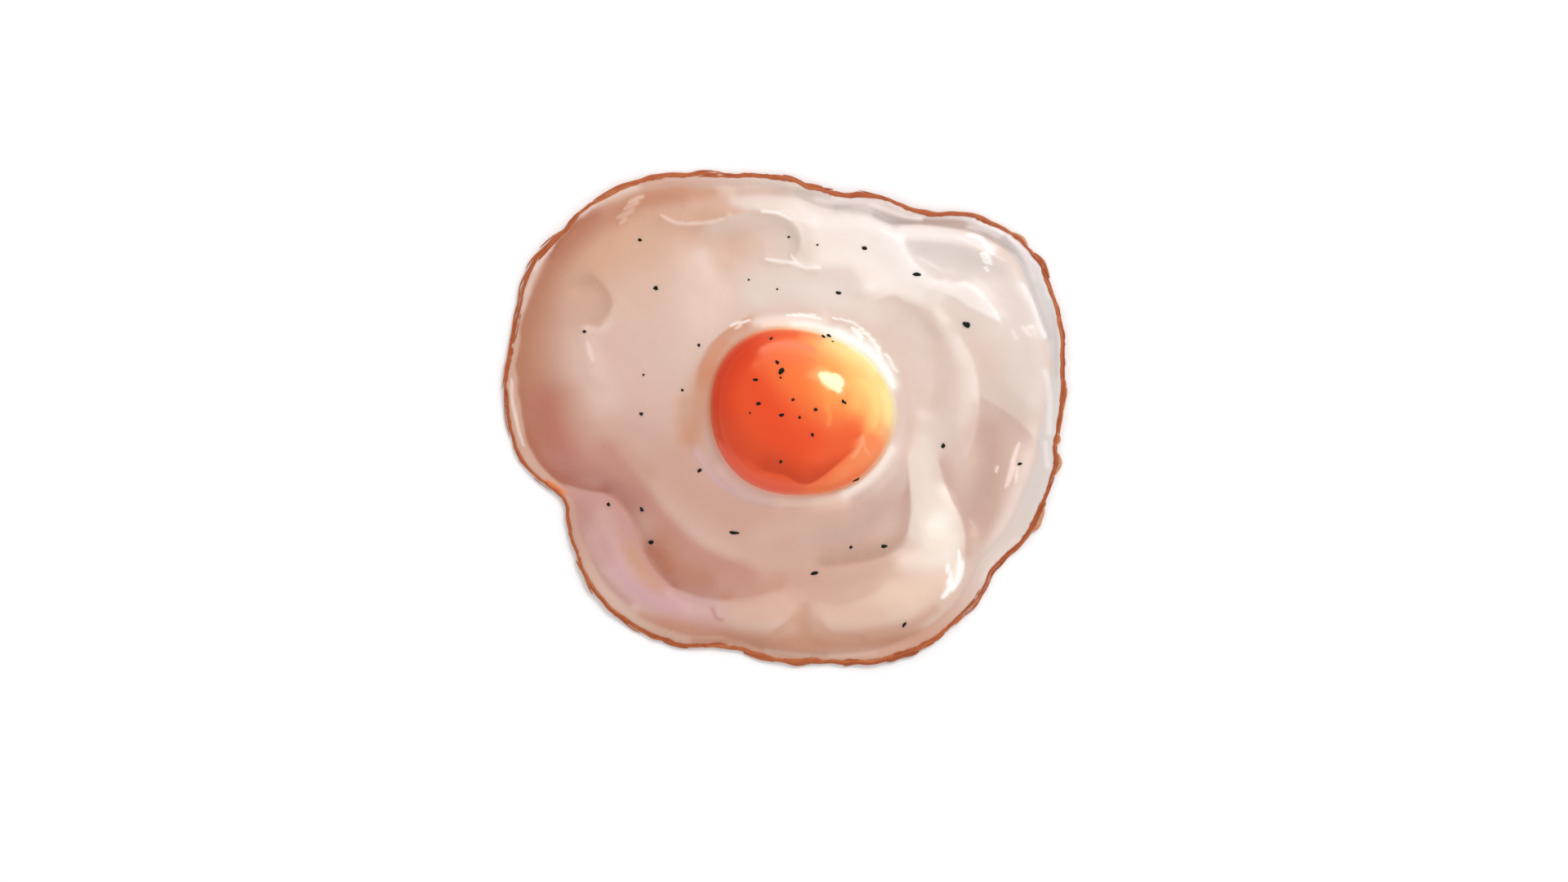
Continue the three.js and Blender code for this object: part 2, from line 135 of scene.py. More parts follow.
def stroke(x, y, line, left, right, power=2, taper=0):
    # 1 on a line, falling off as exp(-(distance / width)^power), with its own width on each side; a
    # tapered one narrows to its ends as (4t(1 - t))^taper
    line = smoothLine(line)
    spread = 3 * max(left, right)  # past which next to nothing is left of it
    (lowX, lowY), (highX, highY) = line.min(0) - spread, line.max(0) + spread
    near = (x > lowX) & (x < highX) & (y > lowY) & (y < highY)
    away, side, along = beside(x[near], y[near], line)
    width = mix(right, left, ease(0.5 + 0.5 * side)) * np.clip(4 * along * (1 - along), 0.1, 1) ** taper
    share = np.zeros(x.shape)
    share[near] = np.exp(-(away / width) ** power)
    return share


def finishMesh(name, points, faces, marks=None):
    # marks are values or colours for each point, which the materials read by name
    mesh = bpy.data.meshes.new(name)
    place = np.asarray(points, float) * mm
    place[:, :2] += yolkMiddle * mm
    mesh.from_pydata(place, [], faces)
    mesh.polygons.foreach_set("use_smooth", np.ones(len(faces), bool))
    for label, values in (marks or {}).items():
        if values.shape[-1] == 4 and values.ndim > 1:
            mark = mesh.attributes.new(label, "FLOAT_COLOR", "POINT")
            mark.data.foreach_set("color", np.ravel(values).astype(np.float32))
        else:
            mark = mesh.attributes.new(label, "FLOAT", "POINT")
            mark.data.foreach_set("value", np.ravel(values).astype(np.float32))
    mesh.validate()
    mesh.update()
    piece = bpy.data.objects.new(name, mesh)
    bpy.context.collection.objects.link(piece)
    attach(piece, "root")
    return piece


def skinFaces(rows, count):
    # quads between neighbouring rings of count points, and a fan to a pole at each end
    i = np.arange(count)
    j = (i + 1) % count
    row = np.arange(rows - 1)[:, None] * count + 1
    last = 1 + (rows - 1) * count
    quads = np.stack([row + i, row + j, row + count + j, row + count + i], -1).reshape(-1, 4)
    firstFan = np.stack([np.zeros(count, int), 1 + j, 1 + i], -1)
    lastFan = np.stack([last + i, last + j, np.full(count, last + count)], -1)
    return quads.tolist() + firstFan.tolist() + lastFan.tolist()


def closedSkin(name, rings, firstPole, lastPole, marks=None):
    # rings is rows x count x 3, from a pole inside the first ring to one inside the last
    rows, count = rings.shape[:2]
    points = np.vstack([firstPole, rings.reshape(-1, 3), lastPole])
    padded = {label: np.concatenate([v[0, :1], v.reshape(rows * count, *v.shape[2:]), v[-1, :1]])
              for label, v in (marks or {}).items()}
    return finishMesh(name, points, skinFaces(rows, count), padded)


def joined(meshes):
    # several meshes, each of points and faces, as one
    allPoints, allFaces, start = [], [], 0
    for points, faces in meshes:
        allPoints.append(points)
        allFaces += [[k + start for k in face] for face in faces]
        start += len(points)
    return np.vstack(allPoints), allFaces


def paint(code):
    # "#rrggbb" as linear light
    share = [int(code[i:i + 2], 16) / 255 for i in (1, 3, 5)]
    return [c / 12.92 if c <= 0.04045 else ((c + 0.055) / 1.055) ** 2.4 for c in share] + [1]


def painted(x, y, colour, strokes, power=2, taper=0):
    # lays each stroke over what is there: colour + (tint - colour) * share * falloff
    for tint, share, left, right, line in strokes:
        cover = share * stroke(x, y, line, left, right, power, taper)
        colour = colour + (np.array(paint(tint)) - colour) * cover[..., None]
    return colour


def aroundTint(stations):
    # a closed run of colours through [bearing, tint] stations
    channels = [around([[bearing, paint(tint)[k]] for bearing, tint in stations]) for k in range(3)]
    return lambda bearing: np.stack([c(bearing) for c in channels] + [np.ones(np.shape(bearing))], -1)


class Wire:
    # a node's output, so that an expression such as (1 - mask) * 0.3 adds its own Math nodes
    def __init__(self, tree, socket=None):
        self.tree, self.socket = tree, socket

    def node(self, kind, settings=None, inputs=None, output=0):
        made = self.tree.nodes.new(kind)
        for name, value in (settings or {}).items():
            if name == "stops":
                ramp = made.color_ramp
                while len(ramp.elements) < len(value):
                    ramp.elements.new(1)
                for element, (position, colour) in zip(ramp.elements, value):
                    element.position, element.color = position, paint(colour)
            else:
                setattr(made, name, value)
        for name, value in (inputs or {}).items():
            if isinstance(value, Wire):
                self.tree.links.new(value.socket, made.inputs[name])
            else:
                made.inputs[name].default_value = value
        return Wire(self.tree, made.outputs[output] if made.outputs else None)

    def math(self, operation, *values):
        return self.node("ShaderNodeMath", {"operation": operation}, dict(enumerate(values)))

    def vector(self, operation, *values):
        return self.node("ShaderNodeVectorMath", {"operation": operation}, dict(enumerate(values)))

    def __add__(self, other):
        return self.math("ADD", self, other)

    def __radd__(self, other):
        return self.math("ADD", other, self)

    def __sub__(self, other):
        return self.math("SUBTRACT", self, other)

    def __rsub__(self, other):
        return self.math("SUBTRACT", other, self)

    def __mul__(self, other):
        return self.math("MULTIPLY", self, other)

    def __rmul__(self, other):
        return self.math("MULTIPLY", other, self)

    def between(self, low, high):
        # an easy step from 0 at low to 1 at high
        return self.node("ShaderNodeMapRange", {"interpolation_type": "SMOOTHSTEP"},
                         {"Value": self, "From Min": low, "From Max": high})

    def tint(self, colour, share):
        # this colour, turned towards another by a share
        mixed = self.node("ShaderNodeMix", {"data_type": "RGBA"}, {"Factor": share})
        made = mixed.socket.node
        plugs = [s for s in made.inputs if s.type == "RGBA"]
        self.tree.links.new(self.socket, plugs[0])
        plugs[1].default_value = paint(colour)
        return Wire(self.tree, next(s for s in made.outputs if s.type == "RGBA"))

    def attribute(self, name, output="Fac"):
        return self.node("ShaderNodeAttribute", {"attribute_name": name}, output=output)

    def place(self):
        # where a point is, in millimetres about the yolk's centre
        spot = self.node("ShaderNodeTexCoord", output="Object")
        middle = (yolkMiddle[0] * mm, yolkMiddle[1] * mm, 0)
        return self.vector("SUBTRACT", spot, middle).scaled(1 / mm)

    def scaled(self, factor):
        return self.node("ShaderNodeVectorMath", {"operation": "SCALE"}, {0: self, "Scale": factor})

    def noise(self, length, detail, roughness):
        # soft noise with features of about this length in millimetres
        return self.node("ShaderNodeTexNoise", None, {
            "Vector": self, "Scale": 1 / length, "Detail": detail, "Roughness": roughness}, "Fac")

    def bump(self, strength, distance):
        # this height as a bump, its distance in millimetres
        return self.node("ShaderNodeBump", None, {
            "Strength": strength, "Distance": distance * mm, "Height": self})


def newMaterial(name):
    material = bpy.data.materials.new(name)
    material.use_nodes = True
    material.node_tree.nodes.clear()
    return material, Wire(material.node_tree)


def finishMaterial(material, start, varying, fixed):
    # varying holds wires, fixed holds plain numbers set on the shader's own sockets
    surface = start.node("ShaderNodeBsdfPrincipled", None, {**fixed, **varying})
    start.node("ShaderNodeOutputMaterial", None, {"Surface": surface})
    return material


yolk = {
    "edge": [[0, 20.2], [30, 19.1], [58, 17.8], [88, 18.1], [118, 20.1], [142, 21],
             [180, 20.3], [225, 19.9], [270, 18.4], [315, 19.5]],
    "depth": 4.2, "rise": 11.8, "crown": 2.25, "base": 2.7,
    "sections": 360, "rows": 96, "lowRows": 13, "lowAngle": -1.3, "highAngle": 1.545,
    "swell": 0.05, "swellNoise": (7, 21), "swellFade": 3,
}
white = {
    "edge": [
        [0, 57.3], [12, 59.3], [24, 61.3], [33, 62], [40, 61.1], [46, 58.7],
        [51, 56.4], [57, 52.4], [62, 50.9], [73, 50.6], [80, 49.1],
        [87, 49.8], [94, 51.9], [105, 54.7], [113, 57.2], [123, 61.7],
        [135, 65.8], [143, 66.7], [151, 68.3], [162, 66.5], [175, 65.9], [183, 65], [189, 63.5],
        [195, 59.8], [200, 56.4], [206, 57.6], [218, 60.4], [228, 60.9], [236, 59.6], [244, 57.7],
        [252, 54.4], [264, 55.2], [278, 55.9], [287, 57.4], [297, 58.1], [308, 57.4],
        [315, 56.3], [321, 54.9], [329, 56.3], [336, 56.9], [348, 57.2], [353, 56.7]],
    "margin": [
        [0, 4], [10, 3.1], [30, 3.5], [40, 3.7], [55, 2.5], [65, 4.2], [75, 3.2], [86, 3.9],
        [98, 2.7], [112, 3], [127, 2.2], [142, 1.2], [152, 1.9], [166, 1.7], [181, 3.6],
        [193, 2.7], [202, 1.7], [215, 3], [240, 2.6], [258, 2], [272, 1.5], [287, 2.6],
        [308, 3.4], [325, 4], [336, 5], [350, 4.4]],
    "shoulder": [[0, 5], [45, 5], [90, 6], [135, 8], [175, 11], [200, 7],
                 [230, 5], [270, 5.5], [315, 5]],
    "collar": [[0, 2.7], [45, 3.1], [90, 3], [135, 4.6], [180, 6.4], [225, 4.2],
               [270, 3], [315, 3.6]],
    "frillThickness": 0.7, "marginThickness": 1.3, "bodyThickness": 3.5,
    "frillWidth": 1.6, "shoulderRounding": 0.8, "moundRise": 1.2, "moundWidth": 15,
    "wander": 0.25, "curlWidth": 7, "curlLift": (0.25, 0.95),
    "floorThickness": 1.2, "clearance": 0.3, "lip": 0.6, "filmWidth": 0.8, "filmRise": 1,
    # the round section of the edge, and its fine fringe: fewest and most waves, and a seed
    "edgeInset": 0.1, "edgeBulge": 0.14, "edgeSpan": 0.46, "fringe": 0.12, "fringeWaves": (60, 300, 11),
    # the mesh: how far its rings lie in from the edge, or out from the yolk
    "sections": 900, "undersideRings": (4.5, 2.2, 0.8, 0.15), "edgeTurns": (-45, 0, 45),
    "topRings": (0.15, 0.4, 0.7, 1, 1.4, 1.8, 2.2), "bodyRings": 76,
    "collarShares": (0.9, 0.3, 6), "lipRings": (0.6, 0.4, 0.25, 0.12, 0.03),
    # the film's end, as how deep it lies in the yolk and how high, and the seat below it
    "filmEnds": ((0.15, 1.1), (0.32, 1.2)), "seatInset": 0.35, "seatAngles": (0, -0.5, -0.9, -1.25),
    # relief, faint on the margin and gone at the collar; each noise is a length and a seed
    "swell": 0.22, "swellNoise": (9, 3), "dimple": 0.05, "dimpleNoise": (3, 4),
    "marginRelief": 0.3, "collarFade": 2.5,
}
wanderWaves = [(23, 0.5, 40), (41, 0.35, 200), (67, 0.25, 95)]
curlWaves = [(5, 0.5, 80), (9, 0.35, 310), (16, 0.25, 150)]

# The lower left lobe lies lower than the body, which slopes down to a crease along this line.
shelf = {
    "line": [(-56, -16.9), (-47, -17.3), (-41, -18.8), (-36.6, -24.5), (-33, -32),
             (-29, -38), (-21, -41.4), (-8, -41.5)],
    "drop": 1.9, "slope": 9, "recovery": 0.35, "swell": 4, "fade": 0.22,
}

# ridges (rise above 0) and hollows (below 0) of the set white: line, width to its left and right, rise
folds = [
    # upper right lobe: crest along its rim, hollow inside it, and two ridges round that
    ([(18, 40.4), (33, 39), (44.5, 34)], 1.6, 2.6, 0.5),
    ([(27, 34.5), (34, 32.6), (43, 30.5)], 2.6, 3.4, -0.6),
    ([(18.5, 40), (22, 34.5), (28.5, 28.5)], 2, 3.2, 0.6),
    ([(28.5, 28.5), (36.5, 26.8), (43, 20.2)], 2.2, 2.6, 0.65),
    ([(13, 26.4), (21.5, 26.6), (30.5, 18)], 3.2, 1.6, 0.5),
    # right of the yolk, from the collar out to the rim
    ([(29, 17), (30, 9), (28.5, 1)], 2.5, 4.5, -0.4),
    ([(31, 19), (34, 7), (34.8, -6)], 2.4, 3, 0.6),
    ([(39, 8), (39, 1.5), (37.5, -6)], 6, 1.3, -0.5),
    ([(44, 3), (42, -10), (39, -24)], 4.5, 4, -0.8),
    ([(52, 16), (52, -0.5), (49, -14)], 1.8, 3, 0.5),
    ([(49, -14), (45, -24.5), (39, -32)], 2.2, 3, 0.5),
    # lower right: a broad ridge that widens into a bulge
    ([(22.5, -6), (25, -17), (26.5, -27)], 5.5, 2.6, 0.9),
    ([(26.5, -27), (19.5, -32.5), (8, -35)], 4, 2.2, 0.6),
    ([(18, -18), (14.5, -25), (4, -28.5)], 4.2, 4.5, -0.8),
    ([(30.5, -8), (32, -17), (36, -23)], 4, 1.6, -0.5),
    ([(33, -20), (35.5, -30.5), (33, -40)], 1.8, 4, 0.7),
    ([(33, -40), (24, -46), (12, -49)], 1.6, 3.5, 0.4),
    # near side: two bulges with a wedge between them
    ([(0.3, -43.5), (0.5, -47), (0.5, -51)], 3, 2.8, -0.5),
    ([(-20, -45.5), (-12, -44.5), (-4, -46)], 3, 3, 0.5),
    ([(6, -46), (14, -44), (22, -45)], 4, 4, 0.5),
    # far side: an oval hollow with a raised rim, and a few thin wrinkles
    ([(-15, 37), (-8.5, 39.5), (-3, 38.5)], 2.5, 4, -0.7),
    ([(-10, 45), (-3, 42.5), (0.5, 36)], 3, 1.3, 0.5),
    ([(-8, 33.6), (-3, 33), (3, 31.3)], 0.9, 0.9, 0.3),
    ([(-31, 43.2), (-24.5, 42), (-17, 43.2)], 1, 1.8, 0.4),
    # left side: a dent, a boss, and a roll above the crease
    ([(-49, 27.5), (-45, 27), (-43.5, 22)], 1.8, 3.5, -0.6),
    ([(-48, 16.5), (-47, 12.5), (-46, 8)], 2.5, 1.6, 0.5),
    ([(-54, -13), (-47, -13), (-41, -15.5)], 3, 2, 0.4),
    # crown of the lower left lobe
    ([(-46, -24), (-40, -36), (-27, -44)], 3.5, 3, 0.4),
]

whiteEdge = around(white["edge"])
yolkEdge = around(yolk["edge"])
marginWidth = around(white["margin"])
shoulderWidth = around(white["shoulder"])
collarWidth = around(white["collar"])
yolkWidestZ = white["floorThickness"] + white["clearance"] + yolk["depth"]
lipZ = yolkWidestZ + white["lip"]

# the yolk's centre in the frame, from the near left corner of its solid
yolkCorner = np.array(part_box("yolk")[0])[:2] / mm
yolkMiddle = yolkCorner + (float(yolkEdge(180)), float(yolkEdge(270)))


def bearingOf(x, y):
    return np.degrees(np.arctan2(y, x))


def squareness(bearing, step=1.5):
    # cosine of the angle between a spoke and the edge's normal
    reach = whiteEdge(bearing)
    slope = (whiteEdge(bearing + step) - whiteEdge(bearing - step)) / math.radians(2 * step)
    return reach / np.hypot(reach, slope)


def roundedStep(x):
    # 0 below 0 and 1 above 1, steepest at the foot: (1 - (1 - x)^2)^rounding
    t = np.clip(x, 0, 1)
    return (1 - (1 - t) ** 2) ** white["shoulderRounding"]


def curl(bearing):
    # how far the edge lifts off the pan, as a sum of slow waves round the egg
    low, high = white["curlLift"]
    return mix(low, high, ease(0.5 + 0.5 * ringWaves(bearing, curlWaves)))


def undersideZ(bearing, inward):
    # flat on the pan, easing up to the curl's height over the last few millimetres
    return curl(bearing) * (1 - ease(inward / white["curlWidth"]))


def foldHeight(x, y):
    # sum over the folds of rise * exp(-(distance / width)^2)
    return sum(rise * stroke(x, y, line, left, right) for line, left, right, rise in folds)


def shelfDrop(x, y):
    # how far the lobe and the slope above it lie below the body: full depth at the line, less up the
    # slope on its left and over the lobe's crown on its right, and none past its far end
    away, side, along = beside(x, y, smoothLine(shelf["line"]))
    depth = shelf["drop"] * ease((1 - along) / shelf["fade"])
    crown = shelf["recovery"] * (1 - np.exp(-away / shelf["swell"]))
    return depth * np.where(side > 0, 1 - roundedStep(away / shelf["slope"]), 1 - crown)


def whiteTopZ(x, y):
    # frill, margin, shoulder, body and mound in turn by distance from the edge, then folds and fine
    # swells; then the collar, halfway between an S and a rounded step up to its lip, and last a film
    # that climbs the yolk as (1 - distance / width)^3
    bearing, reach = bearingOf(x, y), np.hypot(x, y)
    inward = (whiteEdge(bearing) - reach) * squareness(bearing)
    outward = reach - yolkEdge(bearing)
    pastCollar = outward - collarWidth(bearing)
    margin = mix(white["frillThickness"], white["marginThickness"], ease(inward / white["frillWidth"]))
    shoulder = roundedStep((inward - marginWidth(bearing)) / shoulderWidth(bearing))
    mound = white["moundRise"] * (1 - ease(pastCollar / white["moundWidth"]))
    loose = (mix(white["marginRelief"], 1, shoulder) * ease(inward / white["frillWidth"])
             * ease(pastCollar / white["collarFade"]))
    relief = (foldHeight(x, y) + white["swell"] * softNoise(x, y, *white["swellNoise"])
              + white["dimple"] * softNoise(x, y, *white["dimpleNoise"]))
    body = white["bodyThickness"] - shelfDrop(x, y)
    z = undersideZ(bearing, inward) + mound + mix(margin, body, shoulder) + loose * relief
    climb = 1 - np.clip(outward / collarWidth(bearing), 0, 1)
    film = white["filmRise"] * (1 - np.clip(outward / white["filmWidth"], 0, 1)) ** 3
    return mix(z, lipZ, 0.5 * (ease(climb) + roundedStep(climb))) + film


def yolkLevel(angle):
    # the yolk's section: share of full reach cos(angle)^(2/p), height sin(angle)^(2/p)
    power = np.where(angle < 0, yolk["base"], yolk["crown"])
    height = np.where(angle < 0, yolk["depth"], yolk["rise"])
    return (np.cos(angle) ** (2 / power),
            yolkWidestZ + np.sign(angle) * height * np.abs(np.sin(angle)) ** (2 / power))


def yolkTopZ(x, y):
    share = np.clip(np.hypot(x, y) / yolkEdge(bearingOf(x, y)), 0, 1)
    return yolkWidestZ + yolk["rise"] * (1 - share ** yolk["crown"]) ** (1 / yolk["crown"])


def ringPoints(bearing, reach, z):
    turn = np.radians(bearing)
    return np.stack(np.broadcast_arrays(reach * np.cos(turn), reach * np.sin(turn), z), -1)


def makeWhite():
    # rings of points from the middle of the underside out to the edge, back over the top to the yolk,
    # and down into its seat
    bearing = np.arange(white["sections"]) * 360 / white["sections"]
    edge, square = whiteEdge(bearing), squareness(bearing)
    wander = (white["wander"] * ringWaves(bearing, wanderWaves)
              + white["fringe"] * frill(bearing, *white["fringeWaves"]))
    collarEdge = yolkEdge(bearing) + collarWidth(bearing)
    rings, inwards = [], []

    def add(reach, z, loosened=True):
        inward = (edge - reach) * square
        shift = wander * np.exp(-np.clip(inward, 0, None) / white["frillWidth"]) if loosened else 0
        rings.append(ringPoints(bearing, reach + shift, z))
        inwards.append(np.broadcast_to(inward, bearing.shape))

    # underside, out to the curled edge
    for share in (0.5, 1):
        add((edge - white["curlWidth"]) * share, 0, False)
    for inward in white["undersideRings"]:
        add(edge - inward, undersideZ(bearing, inward * square))
    underRings = len(rings)
    # the edge is round, from the underside up to the frill's thickness
    lowZ = undersideZ(bearing, 0)
    for turn in np.radians(white["edgeTurns"]):
        height = white["frillThickness"] * (0.5 + white["edgeSpan"] * math.sin(turn))
        add(edge - white["edgeInset"] + white["edgeBulge"] * math.cos(turn), lowZ + height)
    # top: close rings at the edge, then over the shoulder and body, and up the collar
    onTop = [edge - inward for inward in white["topRings"]]
    onTop += [mix(onTop[-1], collarEdge, share) for share in np.linspace(0, 1, white["bodyRings"])[1:]]
    onTop += [yolkEdge(bearing) + share * collarWidth(bearing)
              for share in np.linspace(*white["collarShares"])]
    onTop += [yolkEdge(bearing) + outward for outward in white["lipRings"]]
    for reach in onTop:
        x, y = reach * np.cos(np.radians(bearing)), reach * np.sin(np.radians(bearing))
        add(reach, whiteTopZ(x, y))
    # the film ends inside the yolk
    for depth, rise in white["filmEnds"]:
        add(yolkEdge(bearing) - depth, lipZ + rise * white["filmRise"], False)
    # below the film the seat follows the yolk's underside
    for angle in white["seatAngles"]:
        share, z = yolkLevel(np.array(angle))
        add(yolkEdge(bearing) * share - white["seatInset"], z - white["clearance"] / 2, False)
    rings, inwards = np.array(rings), np.array(inwards)
    x, y = rings[..., 0], rings[..., 1]
    outward = np.hypot(x, y) - yolkEdge(bearing)
    isUnder = np.arange(len(rings)) < underRings
    marks = {
        "inward": inwards,  # millimetres in from the edge
        "collar": 1 - np.clip(outward / collarWidth(bearing), 0, 1),  # 0 outside, 1 at the yolk
        "underside": np.broadcast_to(isUnder[:, None], inwards.shape).astype(float),
        "paint": whitePaint(x, y, inwards, outward),
    }
    return closedSkin("egg_white", rings, [[0, 0, 0]], [[0, 0, white["floorThickness"]]], marks)


whiteFinish = {
    "cream": "#dfc5b7", "roughness": 0.28, "cloudiness": 0.15, "collarGloss": 0.1,
    # falloff power and taper of the painted highlights
    "paintedGlint": {"power": 4, "taper": 0.5},
    # soft noises as length, detail and roughness, and the bump's strength and distance
    "cloud": (7, 4, 0.55), "grain": (1.1, 3, 0.55), "grainShare": 0.5, "ripple": (3.5, 2, 0.5),
    "bump": (0.25, 0.1),
    # the fried last millimetre: its tint, and from how far in to how far in it sets in, evenly and raggedly
    "crisp": "#b4623a", "crispShare": 0.8, "crispRoughness": 0.25, "crispStep": (0.35, 0.75),
    "evenFade": (1.15, 0.1), "evenShare": 1.1,
    "raggedFade": (1.8, 0.6), "raggedShare": 1.2, "ragged": (1.8, 3, 0.6),
    # the browned mottle on the underside
    "mottle": "#c98a4e", "mottleShare": 0.8, "mottleStep": (0.45, 0.7), "mottleNoise": (5, 5, 0.6),
    "shader": {"IOR": 1.4, "Specular IOR Level": 0.35, "Subsurface Weight": 0.35,
               "Subsurface Radius": (1, 0.88, 0.8), "Subsurface Scale": 0.0015},
}
